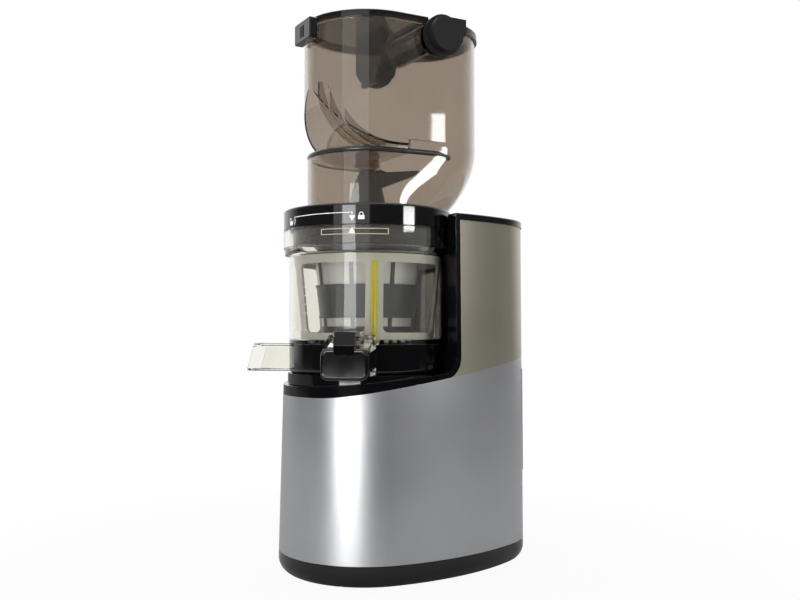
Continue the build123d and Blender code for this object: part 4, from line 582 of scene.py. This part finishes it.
makeSilverShell()
makeLidMarks()
makeFlangeMarks()
makeVolumeTicks()
makeChamberBead()
makeLidCollar()
print("scene pieces made")

# metres, degrees and millimetres of lens
shot = {"place": (-0.3599, -0.7067, 0.2033), "forward": (0.4848, 0.8746), "pitch": 1.72, "lens": 41.85,
        "nearest": 0.05}


def makeCamera():
    lensData = bpy.data.cameras.new("camera")
    lensData.lens = shot["lens"]
    lensData.clip_start = shot["nearest"]
    camera = bpy.data.objects.new("camera", lensData)
    bpy.context.scene.collection.objects.link(camera)
    camera.location = shot["place"]
    look = Vector((*shot["forward"], math.tan(math.radians(shot["pitch"]))))
    camera.rotation_euler = look.to_track_quat("-Z", "Y").to_euler()
    bpy.context.scene.camera = camera


# direction as an angle about the drum, distance, width and heights in metres, and radiance
lamps = {
    "leftKey": {"angle": -141, "away": 1.2, "wide": 0.36, "low": 0.2, "high": 0.5, "glow": 6.5},
    "leftLow": {"angle": -141, "away": 1.2, "wide": 0.62, "low": 0.0, "high": 0.085, "glow": 19.0},
    "leftSoft": {"angle": -138, "away": 1.25, "wide": 1.1, "low": 0.2, "high": 1.2, "glow": 1.0},
    "leftWall": {"angle": 146, "away": 1.4, "wide": 1.1, "low": 0.34, "high": 1.4, "glow": 1.3},
    "rightBox": {"angle": -61, "away": 1.2, "wide": 0.34, "low": 0.398, "high": 0.45, "glow": 20.0},
    "windowPane": {"angle": -58.4, "away": 1.166, "wide": 0.03, "low": 0.55, "high": 0.635, "glow": 18.0},
    "rearBox": {"angle": 56, "away": 1.2, "wide": 0.9, "low": 0.5, "high": 1.4, "glow": 2.0},
}
unmirrored = ("rearBox", "leftWall")    # these light the object but leave no reflection
ceiling = {"place": (0.0, 0.1, 1.5), "aim": (0.0, 0.1, 0.0), "size": 1.2, "glow": 2.0}


def addLamp(name, place, aim, wide, high, glow):
    data = bpy.data.lights.new(name, "AREA")
    data.shape = "RECTANGLE"
    data.size, data.size_y = wide, high
    data.energy = glow * math.pi * wide * high
    made = bpy.data.objects.new(name, data)
    bpy.context.scene.collection.objects.link(made)
    made.location = place
    made.rotation_euler = (Vector(aim) - Vector(place)).to_track_quat("-Z", "Y").to_euler()
    made.visible_transmission = False    # clear walls show the white room, not the lamps
    made.visible_glossy = name not in unmirrored


def makeLamps():
    for name, lamp in lamps.items():
        turn = math.radians(lamp["angle"])
        middle = (lamp["low"] + lamp["high"]) / 2
        place = (lamp["away"] * math.cos(turn), lamp["away"] * math.sin(turn), middle)
        addLamp(name, place, (0, 0, middle), lamp["wide"], lamp["high"] - lamp["low"], lamp["glow"])
    addLamp("ceiling", ceiling["place"], ceiling["aim"], ceiling["size"], ceiling["size"], ceiling["glow"])


# strengths; mirror rays turn from dark to white between darkTo and whiteFrom, seen from the front
room = {"soft": 0.5, "dark": 0.03, "behind": (0.4848, 0.8746), "darkTo": 0.62, "whiteFrom": 0.88,
        "frontSky": 0.45, "skyLow": 0.02, "skyHigh": 0.6}


def makeWorld():
    # white for the camera and through clear walls; in mirror reflections the room
    # is white behind the object and dark on the camera's side
    world = bpy.data.worlds.new("room")
    bpy.context.scene.world = world
    world.use_nodes = True
    world.node_tree.nodes.clear()
    sky = Graph(world.node_tree, "Generated")
    white, soft, dark = [sky.node("Background", {}, {"Color": (1, 1, 1, 1), "Strength": strength})
                         for strength in (1.0, room["soft"], room["dark"])]
    behind = sky.axis("X") * room["behind"][0] + sky.axis("Y") * room["behind"][1]
    rear = sky.ramp(behind * 0.5 + 0.5, room["darkTo"], room["whiteFrom"])
    above = sky.ramp(sky.axis("Z"), room["skyLow"], room["skyHigh"])
    mirror = sky.node("MixShader", {}, {0: (rear + above * room["frontSky"]).clamp(), 1: dark, 2: white})
    mirrored = sky.rays("Glossy") * (1 - sky.rays("Transmission"))
    seen = sky.node("MixShader", {}, {0: mirrored, 1: white, 2: mirror})
    direct = sky.rays("Camera", "Glossy", "Transmission")
    every = sky.node("MixShader", {}, {0: direct, 1: soft, 2: seen})
    sky.node("OutputWorld", {}, {"Surface": every})


# metres; how white the floor shows near the object, and where it has turned all white
paper = {"front": 0.4, "rear": 4.0, "half": 4.0, "shade": (165, 165, 165), "rough": 0.9, "near": 0.95,
         "fadeFrom": 0.2, "fadeTo": 0.45}


def makeFloor():
    # from just in front of the object to far behind it, so that mirror
    # reflections of the camera's side stay dark
    ahead = Vector((*room["behind"], 0)).normalized()
    side = Vector((ahead.y, -ahead.x, 0))
    spots = [(-paper["front"], -1), (-paper["front"], 1), (paper["rear"], 1), (paper["rear"], -1)]
    corners = [ahead * reach + side * across * paper["half"] for reach, across in spots]
    floorMesh = bpy.data.meshes.new("floor")
    floorMesh.from_pydata(corners, [], [(0, 1, 2, 3)])
    floor = bpy.data.objects.new("floor", floorMesh)
    bpy.context.scene.collection.objects.link(floor)
    look = Finish("paper", baseColor=colour(paper["shade"]), roughness=paper["rough"])
    bright = look.node("Emission", {}, {"Color": (1, 1, 1, 1), "Strength": 1.0})
    away = (look.axis("X") * look.axis("X") + look.axis("Y") * look.axis("Y")) ** 0.5
    fade = look.ramp(away, paper["fadeFrom"], paper["fadeTo"]) * (1 - paper["near"]) + paper["near"]
    share = look.rays("Camera", "Transmission") * fade
    lit = Flow(look, look.shader.outputs[0])
    mixed = look.node("MixShader", {}, {0: share, 1: lit, 2: bright})
    look.feed(look.tree.nodes["Material Output"].inputs["Surface"], mixed)
    floorMesh.materials.append(look.material)


makeCamera()
makeLamps()
makeWorld()
makeFloor()
bpy.context.scene.view_settings.view_transform = "Standard"
print("camera, lamps and room ready")
